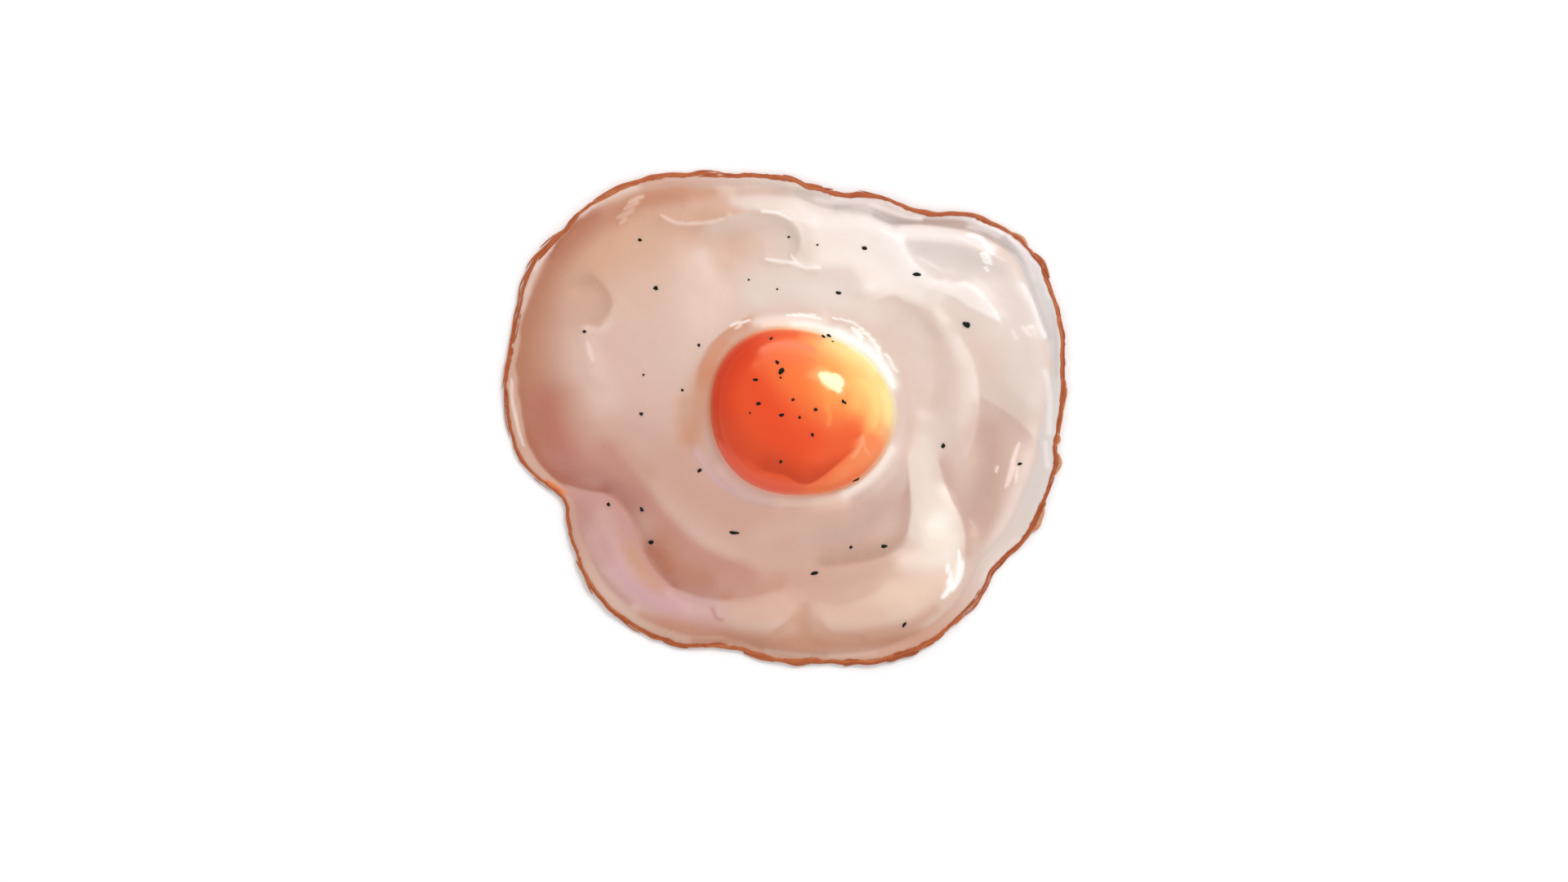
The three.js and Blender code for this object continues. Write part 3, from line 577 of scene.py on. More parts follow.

# tints of the set white, most of them painted light and shade of its folds, darker where a slope faces away
# from the lamp and lighter where it faces it: tint, share, width to the left and right of its line, line
whiteTintAndPaintedShade = [
    # broad washes, partly the white's own colour and partly painted shade, darker on the left and near sides
    ("#f5e8e1", 0.95, 12, 8, [(2, 43), (14, 40), (24, 36)]),
    ("#ecddd6", 0.85, 8, 8, [(26, 33), (36, 30), (44, 24)]),
    ("#dfcbc1", 0.8, 9, 9, [(24, 20), (30, 8), (30, -6)]),
    ("#e6d7d0", 0.85, 6, 6, [(46, 26), (49, 14), (50, 4)]),
    ("#cfa392", 0.95, 9, 10, [(-27, -15), (-11, -25), (8, -27)]),
    ("#d9b7a8", 0.9, 10, 9, [(-43, 16), (-38, 6), (-32, 2)]),
    ("#d8b29d", 0.35, 5, 5, [(-33, 24), (-30, 17)]),
    ("#cfa596", 0.8, 6, 5, [(-42, -4), (-34, -7), (-28, -10)]),
    ("#d9af96", 0.9, 9, 9, [(-46, 33), (-32, 36), (-18, 37)]),
    ("#e4d6cf", 0.9, 6, 4, [(-9, 26), (0, 27), (9, 26)]),
    ("#f8ebe3", 0.85, 4, 6, [(6, 34.5), (12, 34), (19, 30)]),
    ("#d2a48b", 0.8, 3, 4, [(-40, 42), (-31, 43), (-21, 43)]),
    ("#e0b69c", 0.85, 4, 4, [(-47, 29), (-45, 34.4), (-40, 38.6)]),
    ("#cfa28d", 0.9, 5, 5, [(-12, -37), (2, -38), (18, -37)]),
    ("#dab39f", 0.9, 3, 4, [(-16, -43), (-2, -42), (12, -42)]),
    ("#e0c2ae", 0.85, 4, 4, [(13, -41.5), (21, -41), (30, -40)]),
    ("#bf886e", 0.95, 3, 4, [(-30, -47.6), (-6, -50.8), (25, -49.8)]),
    # left side: painted shade, tan inside the margin where the shoulder faces away from the lamp, fading
    # inwards, with a boss in painted light and a dent in painted shade
    ("#c5917a", 0.95, 9, 8, [(-49, 41), (-57, 27), (-59, 4), (-55, -8)]),
    ("#dcb096", 0.5, 4, 4, [(-44.6, 38), (-49, 33), (-48.6, 27)]),
    ("#b87a5e", 0.85, 4, 4, [(-46, 43.5), (-56, 33), (-61, 22), (-62.5, 8), (-60, -6)]),
    ("#a9654a", 0.8, 1, 1.2, [(-55.6, 35), (-54.2, 37.6), (-50.4, 42), (-46.6, 44.4)]),
    ("#b87362", 0.9, 5, 6, [(-56, 2), (-55, -5), (-51, -12)]),
    ("#bf8872", 0.35, 3.5, 3.5, [(-50.6, 3.4), (-49, -3)]),
    ("#dfc0b1", 0.8, 3, 4, [(-46.6, 16), (-45, 10), (-42, 4)]),
    ("#c79e89", 0.8, 0.5, 6, [(-45.4, 29.2), (-42.8, 26), (-42.4, 23), (-44.2, 20.2)]),
    ("#e2c7ba", 0.75, 0.5, 1.1, [(-47.6, 18.7), (-44.5, 18.3), (-42.2, 20), (-41.6, 22.4)]),
    ("#dcb9a7", 0.7, 0.4, 5.5, [(-41, 23), (-37.5, 28.2), (-31, 31), (-26, 31.6)]),
    ("#e8cebf", 0.85, 2.6, 2.6, [(-22, 34), (-20, 29.5), (-17, 26)]),
    ("#eed6ca", 0.4, 5, 5, [(-24.6, 33), (-24, 27), (-21, 21)]),
    ("#c1886c", 1, 2.4, 2.2, [(-41, 43.8), (-35, 46.8), (-27, 47.8)]),
    ("#cc9880", 0.7, 2.6, 2.2, [(-26, 47.6), (-20.6, 46.8)]),
    ("#d9b09c", 0.75, 2.4, 2.4, [(-20, 46.4), (-16, 46)]),
    ("#d4a78f", 0.75, 3, 3, [(-22, 41), (-15, 41.6)]),
    # painted shade on the slope down to the crease, and the mauve lobe beyond it with a painted highlight
    # along its crown
    ("#c59082", 0.95, 1.6, 6.5, [(-42.4, -8.4), (-36.2, -15.8), (-30.8, -23.2), (-23, -30.4),
                                 (-13, -34.8)]),
    ("#bf8b7c", 0.8, 2.6, 1.4, [(-62.6, -4), (-62.4, -8)]),
    ("#bb8074", 0.8, 4, 3, [(-52, -11.6), (-44, -14), (-37.6, -20)]),
    ("#c48f7c", 0.55, 2.5, 3, [(-41.4, -7.6), (-37.4, -10.6), (-34, -13)]),
    ("#bf8570", 0.95, 4.2, 4.2, [(-31.4, -29), (-27.4, -34), (-21.6, -37)]),
    ("#c9988e", 1, 0.6, 8.5, [(-52, -17.4), (-43, -18.4), (-39, -22.6), (-35.4, -30), (-30, -38.4),
                              (-22, -42.4)]),
    ("#ad6656", 0.7, 2, 0.35, [(-58, -13), (-50, -16.4), (-43.4, -17.6)]),
    ("#b16c5e", 0.45, 1.8, 0.35, [(-43.6, -17.6), (-39, -21.4), (-36.2, -27), (-34.4, -31)]),
    ("#ad6650", 0.65, 2.4, 0.35, [(-34.6, -31), (-31.8, -35.4), (-28.4, -38.4)]),
    ("#bb7d69", 0.7, 2.6, 0.5, [(-28.6, -38.3), (-22.6, -40.4), (-17, -41)]),
    ("#c4907b", 0.6, 2.6, 0.8, [(-17, -41), (-11.4, -40.2), (-5, -38.6)]),
    ("#b87058", 0.8, 1.4, 0.8, [(-61.4, -3), (-58.4, -10), (-53.6, -15.4)]),
    ("#d0a4aa", 0.8, 2.3, 2.4, [(-43.6, -29), (-41, -34.6), (-36, -39.8), (-28, -42.6), (-21, -43)]),
    ("#bd897f", 0.7, 2.8, 2.2, [(-48, -22), (-46.6, -27), (-44.4, -32)]),
    ("#cc9b80", 0.75, 1.8, 1.8, [(-37.8, -30.4), (-35.6, -34.4), (-32.6, -38)]),
    ("#d2a8a6", 0.6, 1.8, 1.8, [(-46, -27), (-44.6, -31), (-42, -34.6)]),
    ("#b5684a", 0.5, 1.6, 1.6, [(-31.6, -31.4), (-29.6, -34.6)]),
    ("#bf8c82", 0.65, 1.2, 1, [(-49.6, -20), (-48.4, -29), (-44.6, -36), (-38.4, -42)]),
    ("#d5b0a6", 0.8, 1.8, 1.6, [(-25, -43.4), (-17, -44.8), (-9, -45)]),
    ("#b98078", 0.75, 0.4, 0.4, [(-19.8, -43.4), (-19, -45.3), (-17.6, -45.9)]),
    ("#c48b71", 0.7, 1.6, 1.2, [(-35.6, -45.2), (-25, -48.1), (-16, -49.8)]),
    # near side: a wedge in painted shade between two bulges in painted light
    ("#c6937a", 0.85, 2.6, 2.6, [(0.3, -45.6), (0.5, -48), (0.5, -51)]),
    ("#cb9b83", 0.75, 0.4, 2.2, [(-6.4, -48.6), (-3, -46), (0.1, -42.8)]),
    ("#cb9b83", 0.75, 0.4, 2.2, [(0.5, -42.8), (3.5, -45.4), (6.4, -48.6), (12, -49.8)]),
    ("#d9b39e", 0.8, 1.6, 1.8, [(-13, -44.6), (-6.5, -44.6), (-1.6, -42.6)]),
    ("#ddbaa6", 0.85, 2, 2.2, [(3.4, -43.8), (10, -44.8), (17, -44.6)]),
    ("#cfa792", 0.55, 2.6, 0.4, [(3, -41.4), (9, -42), (14, -40.4), (20, -36.6)]),
    ("#cc9f88", 0.75, 1.6, 1.4, [(15, -49.2), (23, -47.4), (29, -43.6)]),
    # below the yolk: a hollow in painted shade with a crisp lower side, then a lobe in painted light
    ("#cdad9e", 0.95, 4.4, 3, [(2, -28.6), (11, -26.6), (17, -21), (19, -16)]),
    ("#d8b7a6", 0.6, 3, 3, [(-9, -27), (-3, -25.4), (4, -23.6), (9, -22.6)]),
    ("#c8a595", 0.85, 3.3, 0.4, [(7, -33), (16.4, -31.4), (21.8, -28.4), (23.4, -22.2), (23.3, -12.6)]),
    ("#bd9784", 0.8, 2.6, 0.5, [(5, -33.6), (10, -33.2), (16.4, -32), (21.4, -29.8)]),
    ("#d3af9b", 0.8, 0.6, 3.5, [(6, -35.2), (14, -34.2), (20, -32.4), (23.8, -29.8)]),
    # lower right: a cream ridge that widens into a bulge, brightened with painted light
    ("#ecdcd0", 0.9, 3.2, 0.4, [(23.4, -10), (23.8, -15), (24.4, -21), (23.8, -26)]),
    ("#ead9cd", 0.9, 2.6, 2.4, [(26, -7), (27, -13), (27.6, -18)]),
    ("#e2cec4", 0.6, 2.5, 0.6, [(22.4, -16.4), (22.8, -12.6), (22.4, -8)]),
    ("#fff5ea", 0.92, 4, 4.4, [(30.8, -24), (30.4, -27.6), (29.4, -31.2)]),
    ("#fff0e3", 0.9, 0.5, 2.6, [(32, -17), (34.2, -20.8), (35.5, -26), (35.3, -32), (33.8, -37)]),
    ("#fff6ec", 0.75, 2.6, 3, [(33.2, -24.6), (33.4, -28), (31.4, -32)]),
    ("#f8e3d4", 0.8, 3, 2.6, [(29.6, -29.6), (26.4, -31.4), (23, -32.6)]),
    ("#eccfbb", 0.8, 3.5, 3.5, [(30, -36.6), (25.5, -39), (20, -39)]),
    # right: a hollow in painted shade with a pink ridge in painted light round it
    ("#c9a796", 0.95, 4.8, 4.8, [(41, -4), (41, -13), (38.6, -24)]),
    ("#cba99a", 0.8, 0.4, 3, [(36.2, -30), (35.6, -24), (32.6, -18), (30.5, -11.5)]),
    ("#e9d4cb", 0.9, 1.6, 1.8, [(51, -4), (48.8, -14), (45.8, -22.5), (42, -29), (39.6, -33)]),
    ("#cfad9d", 0.75, 2, 2.4, [(41, -21), (39.4, -26.4), (36.6, -31)]),
    ("#d9bfb2", 0.7, 1.5, 1.6, [(38.8, -30), (38.2, -34.6), (36, -39)]),
    ("#dbc7bb", 0.8, 2.6, 2.6, [(41, 4.4), (45, 2.6), (49, -0.6)]),
    ("#cfb3a6", 0.8, 0.5, 3.5, [(39.2, 3), (43, 0.8), (47, -2), (49.6, -4.6)]),
    ("#d9c1b5", 0.8, 3.2, 0.5, [(27, 20), (29.5, 13), (29.7, 7), (28.4, 1.4)]),
    ("#e6d2c7", 0.8, 2, 2, [(33.5, 17), (36, 11), (36.6, 5), (35.4, -2)]),
    ("#f2e0d8", 0.88, 0.4, 2.2, [(34.8, 16), (37.3, 11), (38.6, 5), (38.4, 0)]),
    ("#e0c6ba", 0.8, 0.4, 2.2, [(38.5, 1), (38, -4), (36.4, -9)]),
    # upper right lobe: two arms in painted light, a hollow over them in painted shade, and a grey line of
    # painted shade inside the rim
    ("#f4e9e5", 0.85, 1.4, 1.2, [(22, 39.2), (30, 38.8), (37, 37.8), (42, 36)]),
    ("#dfd3cd", 0.9, 0.4, 4.8, [(24, 37.4), (30, 37), (35.5, 36.2), (41, 34.6)]),
    ("#e0d2cb", 0.9, 3, 2.6, [(25.6, 34), (29, 32), (33, 31), (38, 31)]),
    ("#f8ede7", 0.9, 1.8, 3, [(18, 40), (20.4, 35.5), (23.6, 31.2), (27.6, 27.6)]),
    ("#f9eee8", 0.85, 0.4, 2.2, [(21.9, 38.2), (22.8, 35), (25, 31.7), (27.8, 29)]),
    ("#faefe8", 0.88, 0.5, 2.8, [(29.4, 28.3), (33, 27.9), (36, 28.4), (38.8, 26.8), (40.6, 24.2),
                                 (43, 20.2)]),
    ("#fbeee8", 0.85, 1.4, 1.8, [(30.5, 26.8), (34.4, 26), (37.2, 24), (40.6, 21.6)]),
    ("#e4d2c8", 0.85, 0.4, 3.2, [(29.6, 26.2), (33.4, 24.9), (36.4, 22.9), (39, 21.7), (42.4, 20)]),
    ("#f3e6de", 0.85, 1.6, 1.6, [(12, 27.8), (20, 27.2), (26, 26), (30, 26)]),
    ("#ecdcd2", 0.8, 1.4, 1, [(28, 25), (30, 21.6), (31.8, 16)]),
    ("#dbc5b9", 0.85, 0.5, 4.4, [(17, 24.4), (20, 25.2), (23, 23.6), (26.6, 22.4), (29, 19.4), (30.4, 13)]),
    # a faint warm patch beyond the yolk, and the shade inside the right ridge
    ("#dfc8bc", 0.4, 4, 4, [(-13, 29.4), (-6, 27)]),
    ("#dfc9be", 0.7, 1.2, 1.2, [(30.6, 18), (31.8, 13), (31.2, 8)]),
    # far side, just inside the rim: mostly painted shade along the foot of the body
    ("#d6b9ac", 0.75, 2.2, 1.6, [(-13, 48.6), (-7, 48.8)]),
    ("#c9b4ab", 0.8, 1.2, 1.2, [(-5.6, 48.8), (-2, 48.2), (3.4, 47.4)]),
    ("#c58e72", 0.6, 1.2, 1.8, [(-38, 47.2), (-30, 49), (-20, 48.8)]),
    ("#c48c71", 0.5, 2.2, 2.2, [(-42, 43.6), (-36.6, 46), (-30, 46.6)]),
    ("#e4d2ca", 0.6, 1.6, 1.8, [(1.6, 45.6), (7, 44.8)]),
    ("#cfa087", 0.5, 2.2, 2, [(-21, 42), (-16, 42)]),
    # far side: an oval hollow in painted shade with a rim in painted light, and thin wrinkles
    ("#e7d2c8", 0.8, 1.8, 1.3, [(-14.6, 46.3), (-9, 46.6), (-3, 45.2)]),
    ("#ead7ce", 0.85, 2, 0.6, [(-12, 45), (-4, 44.4), (0.4, 41), (1, 36)]),
    ("#d9c4b8", 0.85, 0.4, 5.2, [(-19, 42.2), (-14, 43.4), (-8, 43.8), (-3.4, 42.2), (-1, 39.4),
                                 (-0.9, 36.4), (-2.4, 34)]),
    ("#ddc9c0", 0.6, 1.4, 4, [(1, 31), (6, 31), (10.4, 30.4), (12.4, 27.6)]),
    ("#ecdcd5", 0.5, 3, 3, [(6, 24.4), (11, 23.6), (15, 21.4)]),
    # painted light: warm light through the collar on the left, a mauve highlight below it, and white
    # highlights above and right; the tints under the yolk are painted light that offsets its cast shadow
    ("#cf977c", 0.9, 3.6, 0.5, [(-12.4, 20.2), (-16.8, 17.6), (-20, 14.5), (-21.9, 11.2), (-22.8, 8)]),
    ("#cf9272", 0.75, 3.4, 2.4, [(-21, 9), (-22.6, 5), (-23, 0), (-24.4, -5)]),
    ("#d8926c", 0.6, 1.2, 1.2, [(-17, 15), (-19, 12.4), (-20.6, 8)]),
    ("#cf9a7c", 0.55, 2, 2, [(-26, 2), (-26.4, -2), (-26, -6)]),
    ("#eac2b8", 0.9, 2.2, 1.6, [(-17.4, -12.8), (-14, -16), (-9.6, -18.2), (-5, -19.2)]),
    ("#dcb6b6", 0.8, 1, 0.5, [(-23.4, -8.6), (-21.2, -12.4), (-17.4, -16.4), (-12.4, -19.2)]),
    ("#f2ccba", 0.85, 1.9, 1.3, [(-5, -19.8), (3, -20.2), (9, -19.6)]),
    ("#e2bfb5", 0.5, 1.4, 1.2, [(-14, -17.6), (-10, -19.2), (-6, -20)]),
    ("#f6d9ca", 0.6, 1.4, 1.6, [(3, -19.2), (9, -18.4)]),
    ("#e9d4c8", 0.6, 3, 3, [(17, -15.4), (20.6, -11), (22.4, -7)]),
    ("#fff0e6", 0.9, 1.6, 1.4, [(9.6, -17.7), (13, -15.7), (16.6, -12.5), (19.4, -8.4)]),
    ("#f3e0d7", 0.75, 0.9, 1.4, [(-10, 19.9), (-3, 20.6), (5, 20.4)]),
    ("#ffe4d4", 0.85, 1, 1.1, [(-8, 18.9), (-5, 19.2), (-2, 19.3)]),
    ("#fff6ec", 0.95, 0.9, 1.2, [(-2, 19.1), (2, 19.1), (7, 17.6)]),
    ("#fffdf8", 0.95, 1.5, 1.4, [(8, 17.1), (11.9, 15.2), (15.4, 12.6), (18, 9.2), (19.4, 6)]),
]

# what lies over the margin: grey folds in painted shade, pale bands inside the far, right and left rims that
# are partly the thin white's own colour and partly painted light, tan bands of painted shade inside the near
# one, and an orange nick at the left
rimTintAndPaintedShade = [
    ("#b8a096", 0.9, 1.3, 0.4, [(20, 41.8), (26, 41.8), (32, 41), (38, 39.9), (43, 37.5), (46.4, 35.3)]),
    ("#c0a298", 0.8, 0.7, 0.7, [(24, 42.7), (29, 42.2), (34, 41.9), (37.6, 41)]),
    ("#c5b8b2", 0.8, 1.2, 1.2, [(7.5, 45.3), (14, 44.4), (18, 43), (20.6, 41.8)]),
    ("#b7aaa4", 0.7, 0.8, 0.5, [(16, 43.4), (19.6, 41.8), (24, 41.8)]),
    ("#ebdcd7", 0.85, 0.9, 0.8, [(3.4, 47), (6, 46.6), (12, 46.5), (17, 45.4)]),
    ("#cdab9b", 0.55, 1.2, 1, [(-14, 48.4), (-9, 48.7), (-4, 48.3)]),
    ("#c2b2aa", 0.6, 0.8, 0.7, [(-1, 49), (3, 48.3), (6, 47.8)]),
    ("#f4e5e0", 0.9, 0.5, 0.5, [(15, 46), (19, 44.5), (23, 43.1), (26.2, 42.7)]),
    ("#c9c0bd", 0.9, 1.1, 0.9, [(44.4, 38), (47, 35.6), (49.7, 30), (51.6, 24), (54, 16.6)]),
    ("#f4e8e6", 0.85, 0.5, 0.6, [(39.6, 42), (42, 41.2), (44, 39.6)]),
    ("#e4d5d1", 0.85, 1, 0.7, [(37, 41), (41, 40), (43, 38.8)]),
    ("#ecdede", 0.9, 0.7, 0.5, [(45.8, 38.6), (49.4, 34), (51.2, 29.5)]),
    ("#f6efeb", 0.95, 0.4, 0.9, [(48.8, 28), (50.8, 24), (52.6, 19), (53.6, 16.8)]),
    ("#c6bcb8", 0.6, 0.4, 0.6, [(55, 25), (56, 18), (56.2, 8)]),
    ("#e8d6cd", 0.95, 1.6, 1.4, [(47.4, -28.6), (43.6, -32.6), (41, -36)]),
    ("#e4c8bb", 0.95, 0.9, 1.2, [(-48.6, 44.4), (-45.4, 46.4), (-42, 48.2), (-37, 50)]),
    ("#e2c3b6", 0.85, 0.9, 1, [(-56.2, 36), (-57.4, 34), (-59.2, 30), (-61, 26), (-62.1, 23)]),
    ("#efe5e1", 0.95, 0.5, 0.8, [(53.6, 9), (54.7, 4), (54.6, -4.6)]),
    ("#ede3df", 0.9, 0.6, 0.6, [(53.7, -6.8), (54.1, -12)]),
    ("#bb8770", 0.8, 0.9, 0.8, [(-24, -50.6), (-14, -50.6), (-7, -52.4), (5, -53.6)]),
    ("#dcbcae", 0.5, 0.5, 0.4, [(-8, -52.6), (0, -53.6), (8, -53.8), (16, -53.2)]),
    ("#ef7f38", 0.95, 0.6, 0.8, [(-56.2, -15.5), (-55, -16.3), (-52.9, -17.8)]),
]

# painted highlights standing for wet glints: short dabs, tapering at both ends
whitePaintedGlints = [
    ("#fffaf5", 1, 0.55, 0.55, [(36, 39.3), (39.2, 38.4), (40.6, 36.8)]),
    ("#fffaf5", 1, 0.8, 0.7, [(39.6, 37.6), (41.2, 36), (41.9, 34.6)]),
    ("#fffaf5", 1, 0.6, 0.55, [(39.3, 34.8), (40.5, 34.6), (41.6, 32.3)]),
    ("#fffaf5", 0.9, 0.4, 0.4, [(39.4, 34.4), (40.4, 33), (40.6, 32.6)]),
    ("#fffaf5", 0.9, 0.4, 0.4, [(40.2, 32.2), (41, 30.8)]),
    ("#fff8f3", 0.6, 0.5, 0.4, [(41.2, 24), (42.6, 21.6), (43.3, 20)]),
    ("#fffaf5", 1, 0.5, 0.45, [(34.4, -30.2), (34.5, -33), (34, -36)]),
    ("#fffaf5", 1, 0.5, 0.5, [(32.1, -33.3), (31.9, -35.6)]),
    ("#fffaf5", 1, 0.8, 0.8, [(35.3, -32.8), (34.4, -36.4), (32.6, -39.6)]),
    ("#fffaf5", 1, 0.7, 0.6, [(32.6, -35), (32.6, -38), (31.4, -40.2), (30.6, -41)]),
    ("#fffaf5", 0.9, 0.35, 0.35, [(31.8, -37.8), (33, -35.2)]),
    ("#fce4de", 0.9, 0.45, 0.5, [(47.8, -6.8), (46.8, -9.6), (46.2, -12)]),
    ("#fce4de", 0.9, 0.7, 0.6, [(46.6, -10), (46, -13), (44.8, -16.6)]),
    ("#fce8e2", 0.8, 0.35, 0.4, [(47.4, -11.6), (47, -15.8)]),
    ("#fbe6e0", 0.8, 0.35, 0.35, [(43.1, -11.8), (42.6, -13.4)]),
    ("#f6ebe4", 0.8, 0.5, 0.5, [(48.2, 19), (50.2, 16.8)]),
    ("#f6ebe4", 0.8, 0.4, 0.4, [(49.2, 18.4), (50.9, 18.9)]),
    ("#f3e6dd", 0.7, 0.45, 0.45, [(46.2, 18.2), (47.4, 15.7)]),
    ("#e4c1b0", 0.8, 0.5, 0.5, [(-34.8, 47.7), (-38.4, 46.2)]),
    ("#e0baa8", 0.7, 0.6, 0.6, [(-35.8, 46.4), (-39.2, 44.8)]),
    ("#dcb5a1", 0.7, 0.6, 0.6, [(-37, 44.6), (-40.8, 42.8)]),
    ("#e2bdab", 0.7, 0.4, 0.4, [(-38.6, 42.8), (-40.2, 41.4)]),
    ("#ebcebf", 0.8, 0.3, 0.6, [(-31.2, 43.4), (-27.5, 41.8), (-22, 41.5)]),
    ("#ebcebf", 0.8, 0.4, 0.4, [(-25, 41.6), (-20.6, 41.7), (-17, 42.6)]),
    ("#fbf1ea", 0.9, 0.3, 0.5, [(-9.5, 44.3), (-5.4, 43.9), (-2.2, 42.3)]),
    ("#f6eae4", 0.8, 0.6, 0.35, [(-8.2, 33.7), (-4.6, 33), (-1, 32.8)]),
    ("#f6eae4", 0.8, 0.45, 0.35, [(-3, 33), (0.6, 31.8), (3.8, 31.8)]),
    ("#f6eae4", 0.8, 0.4, 0.4, [(-2.5, 34.6), (-1.2, 33), (1.2, 31.3)]),
    ("#e9d1c6", 0.8, 0.8, 0.5, [(-47.4, 15.6), (-46.8, 13), (-46, 11)]),
    ("#eed9ce", 0.8, 0.4, 0.4, [(-64, 8), (-64.1, 3), (-62.6, -4), (-61.6, -7.6)]),
    ("#ead0c3", 0.8, 0.8, 0.6, [(-59.4, 31), (-57.4, 34), (-54.6, 37.2)]),
    # painted highlights on the collar
    ("#fff4ec", 0.9, 0.3, 0.35, [(-15.8, 18.9), (-14, 19.6), (-10.6, 20.2)]),
    ("#f6d9c8", 0.9, 0.3, 0.3, [(-15.4, 18.4), (-13, 18.9)]),
    ("#fffaf5", 0.9, 0.35, 0.3, [(-4, 21.2), (0, 21.2), (4.6, 20.4)]),
    ("#fffaf5", 0.8, 0.3, 0.3, [(-2, 21.5), (3, 21.3)]),
    ("#fffaf5", 0.8, 0.25, 0.3, [(5.8, 20.8), (11, 19.7), (15.2, 16.4), (18, 12.6)]),
    ("#fffaf5", 1, 0.6, 0.6, [(10.8, 18.6), (12.4, 17.2), (13.2, 15.8)]),
    ("#fffaf5", 0.9, 0.35, 0.35, [(12.4, 18.4), (15.6, 15.4), (17.6, 11.6)]),
    ("#fffaf5", 0.9, 0.3, 0.3, [(18.2, 13.4), (20, 10), (21, 8.6)]),
    ("#fffaf5", 0.9, 0.3, 0.3, [(18.4, 10.6), (19.6, 7.6), (20.2, 5)]),
]

whiteRim = {
    # the thin margin's tint by bearing, partly its own colour and partly painted shade, darker on the side
    # away from the lamp, and painted light shining through the yolk onto the white next to it
    "margin": [
        [0, "#d9d2ce"], [40, "#dfd8d7"], [60, "#d9c8c0"], [90, "#d8c6bd"], [105, "#d8bcb0"],
        [122, "#cea490"], [135, "#dab8a6"], [180, "#d2a995"], [195, "#d6ad9a"], [206, "#c99b8a"],
        [222, "#d0ad9d"], [240, "#caa48f"], [258, "#cd9e88"], [290, "#d2a590"], [302, "#cfa18d"],
        [317, "#ddc7bc"], [340, "#dad0ca"]],
    "marginShare": 0.85, "marginWaver": 0.35, "waverNoise": (4, 12), "marginBlur": 0.8,
    "paintedGlow": [
        [0, "#ffe8c0"], [50, "#fffadc"], [75, "#fff2d4"], [100, "#ffd2ac"], [130, "#e09878"],
        [180, "#ea8c6c"], [225, "#ffae98"], [270, "#ffb69c"], [300, "#ffac86"], [335, "#ffbe94"]],
    "glowWidth": 0.5, "glowShare": 0.9,
}


def whitePaint(x, y, inward, outward):
    # broad tints with painted light and shade, then the margin and what lies over it, painted light from the
    # yolk next to it as exp(-(distance / width)^2), and the painted highlights on top
    bearing = bearingOf(x, y)
    colour = painted(x, y, np.array(paint(whiteFinish["cream"])), whiteTintAndPaintedShade)
    # the margin, with a crisp inner side that wanders a little
    waver = whiteRim["marginWaver"] * softNoise(x, y, *whiteRim["waverNoise"])
    past = marginWidth(bearing) + waver - inward
    margin = whiteRim["marginShare"] * ease(0.5 + past / whiteRim["marginBlur"])
    colour += (aroundTint(whiteRim["margin"])(bearing) - colour) * margin[..., None]
    colour = painted(x, y, colour, rimTintAndPaintedShade)
    # painted light shining through the yolk, strongest at the yolk's edge
    paintedGlow = whiteRim["glowShare"] * np.exp(-(np.clip(outward, 0, None) / whiteRim["glowWidth"]) ** 2)
    colour += (aroundTint(whiteRim["paintedGlow"])(bearing) - colour) * paintedGlow[..., None]
    return painted(x, y, colour, whitePaintedGlints, **whiteFinish["paintedGlint"])


def whiteMaterial():
    material, start = newMaterial("set egg white")
    place = start.place()
    inward = start.attribute("inward")
    collar = start.attribute("collar")
    cloud = place.noise(*whiteFinish["cloud"])
    colour = start.attribute("paint", "Color")
    # the last millimetre is fried brown, of uneven width
    ragged = place.noise(*whiteFinish["ragged"])
    crisp = (inward.between(*whiteFinish["evenFade"]) * whiteFinish["evenShare"]
             + (ragged - 0.5) * whiteFinish["raggedShare"] * inward.between(*whiteFinish["raggedFade"]))
    crisp = crisp.between(*whiteFinish["crispStep"])
    colour = colour.tint(whiteFinish["crisp"], crisp * whiteFinish["crispShare"])
    # browned mottle on the underside
    patches = place.noise(*whiteFinish["mottleNoise"]).between(*whiteFinish["mottleStep"])
    mottle = start.attribute("underside") * patches
    colour = colour.tint(whiteFinish["mottle"], mottle * whiteFinish["mottleShare"])
    grain = place.noise(*whiteFinish["grain"]) * whiteFinish["grainShare"]
    height = grain + place.noise(*whiteFinish["ripple"])
    roughness = (whiteFinish["roughness"] + crisp * whiteFinish["crispRoughness"]
                 + (cloud - 0.5) * whiteFinish["cloudiness"]
                 - collar.between(0, 0.2) * whiteFinish["collarGloss"])
    return finishMaterial(material, start, {
        "Base Color": colour, "Roughness": roughness, "Normal": height.bump(*whiteFinish["bump"]),
    }, whiteFinish["shader"])


def makeYolk():
    # the edge's outline, scaled by the section's reach and set at its height, row by row
    bearing = np.arange(yolk["sections"]) * 360 / yolk["sections"]
    angles = np.concatenate([np.linspace(yolk["lowAngle"], 0, yolk["lowRows"] + 1)[:-1],
                             np.linspace(0, yolk["highAngle"], yolk["rows"] - yolk["lowRows"])])
    share, z = (v[:, None] for v in yolkLevel(angles))
    rings = ringPoints(bearing, yolkEdge(bearing) * share, z)
    x, y = rings[..., 0], rings[..., 1]
    # faint swells that make the highlights wander
    share = ease((z - yolkWidestZ) / yolk["swellFade"])
    swell = yolk["swell"] * softNoise(x, y, *yolk["swellNoise"]) * share
    rings[..., 2] += swell
    topZ = yolkWidestZ + yolk["rise"] + swell[-1].mean()
    marks = {"paint": yolkPaint(x, y)}
    return closedSkin("egg_yolk", rings, [[0, 0, yolkWidestZ - yolk["depth"]]], [[0, 0, topZ]], marks)


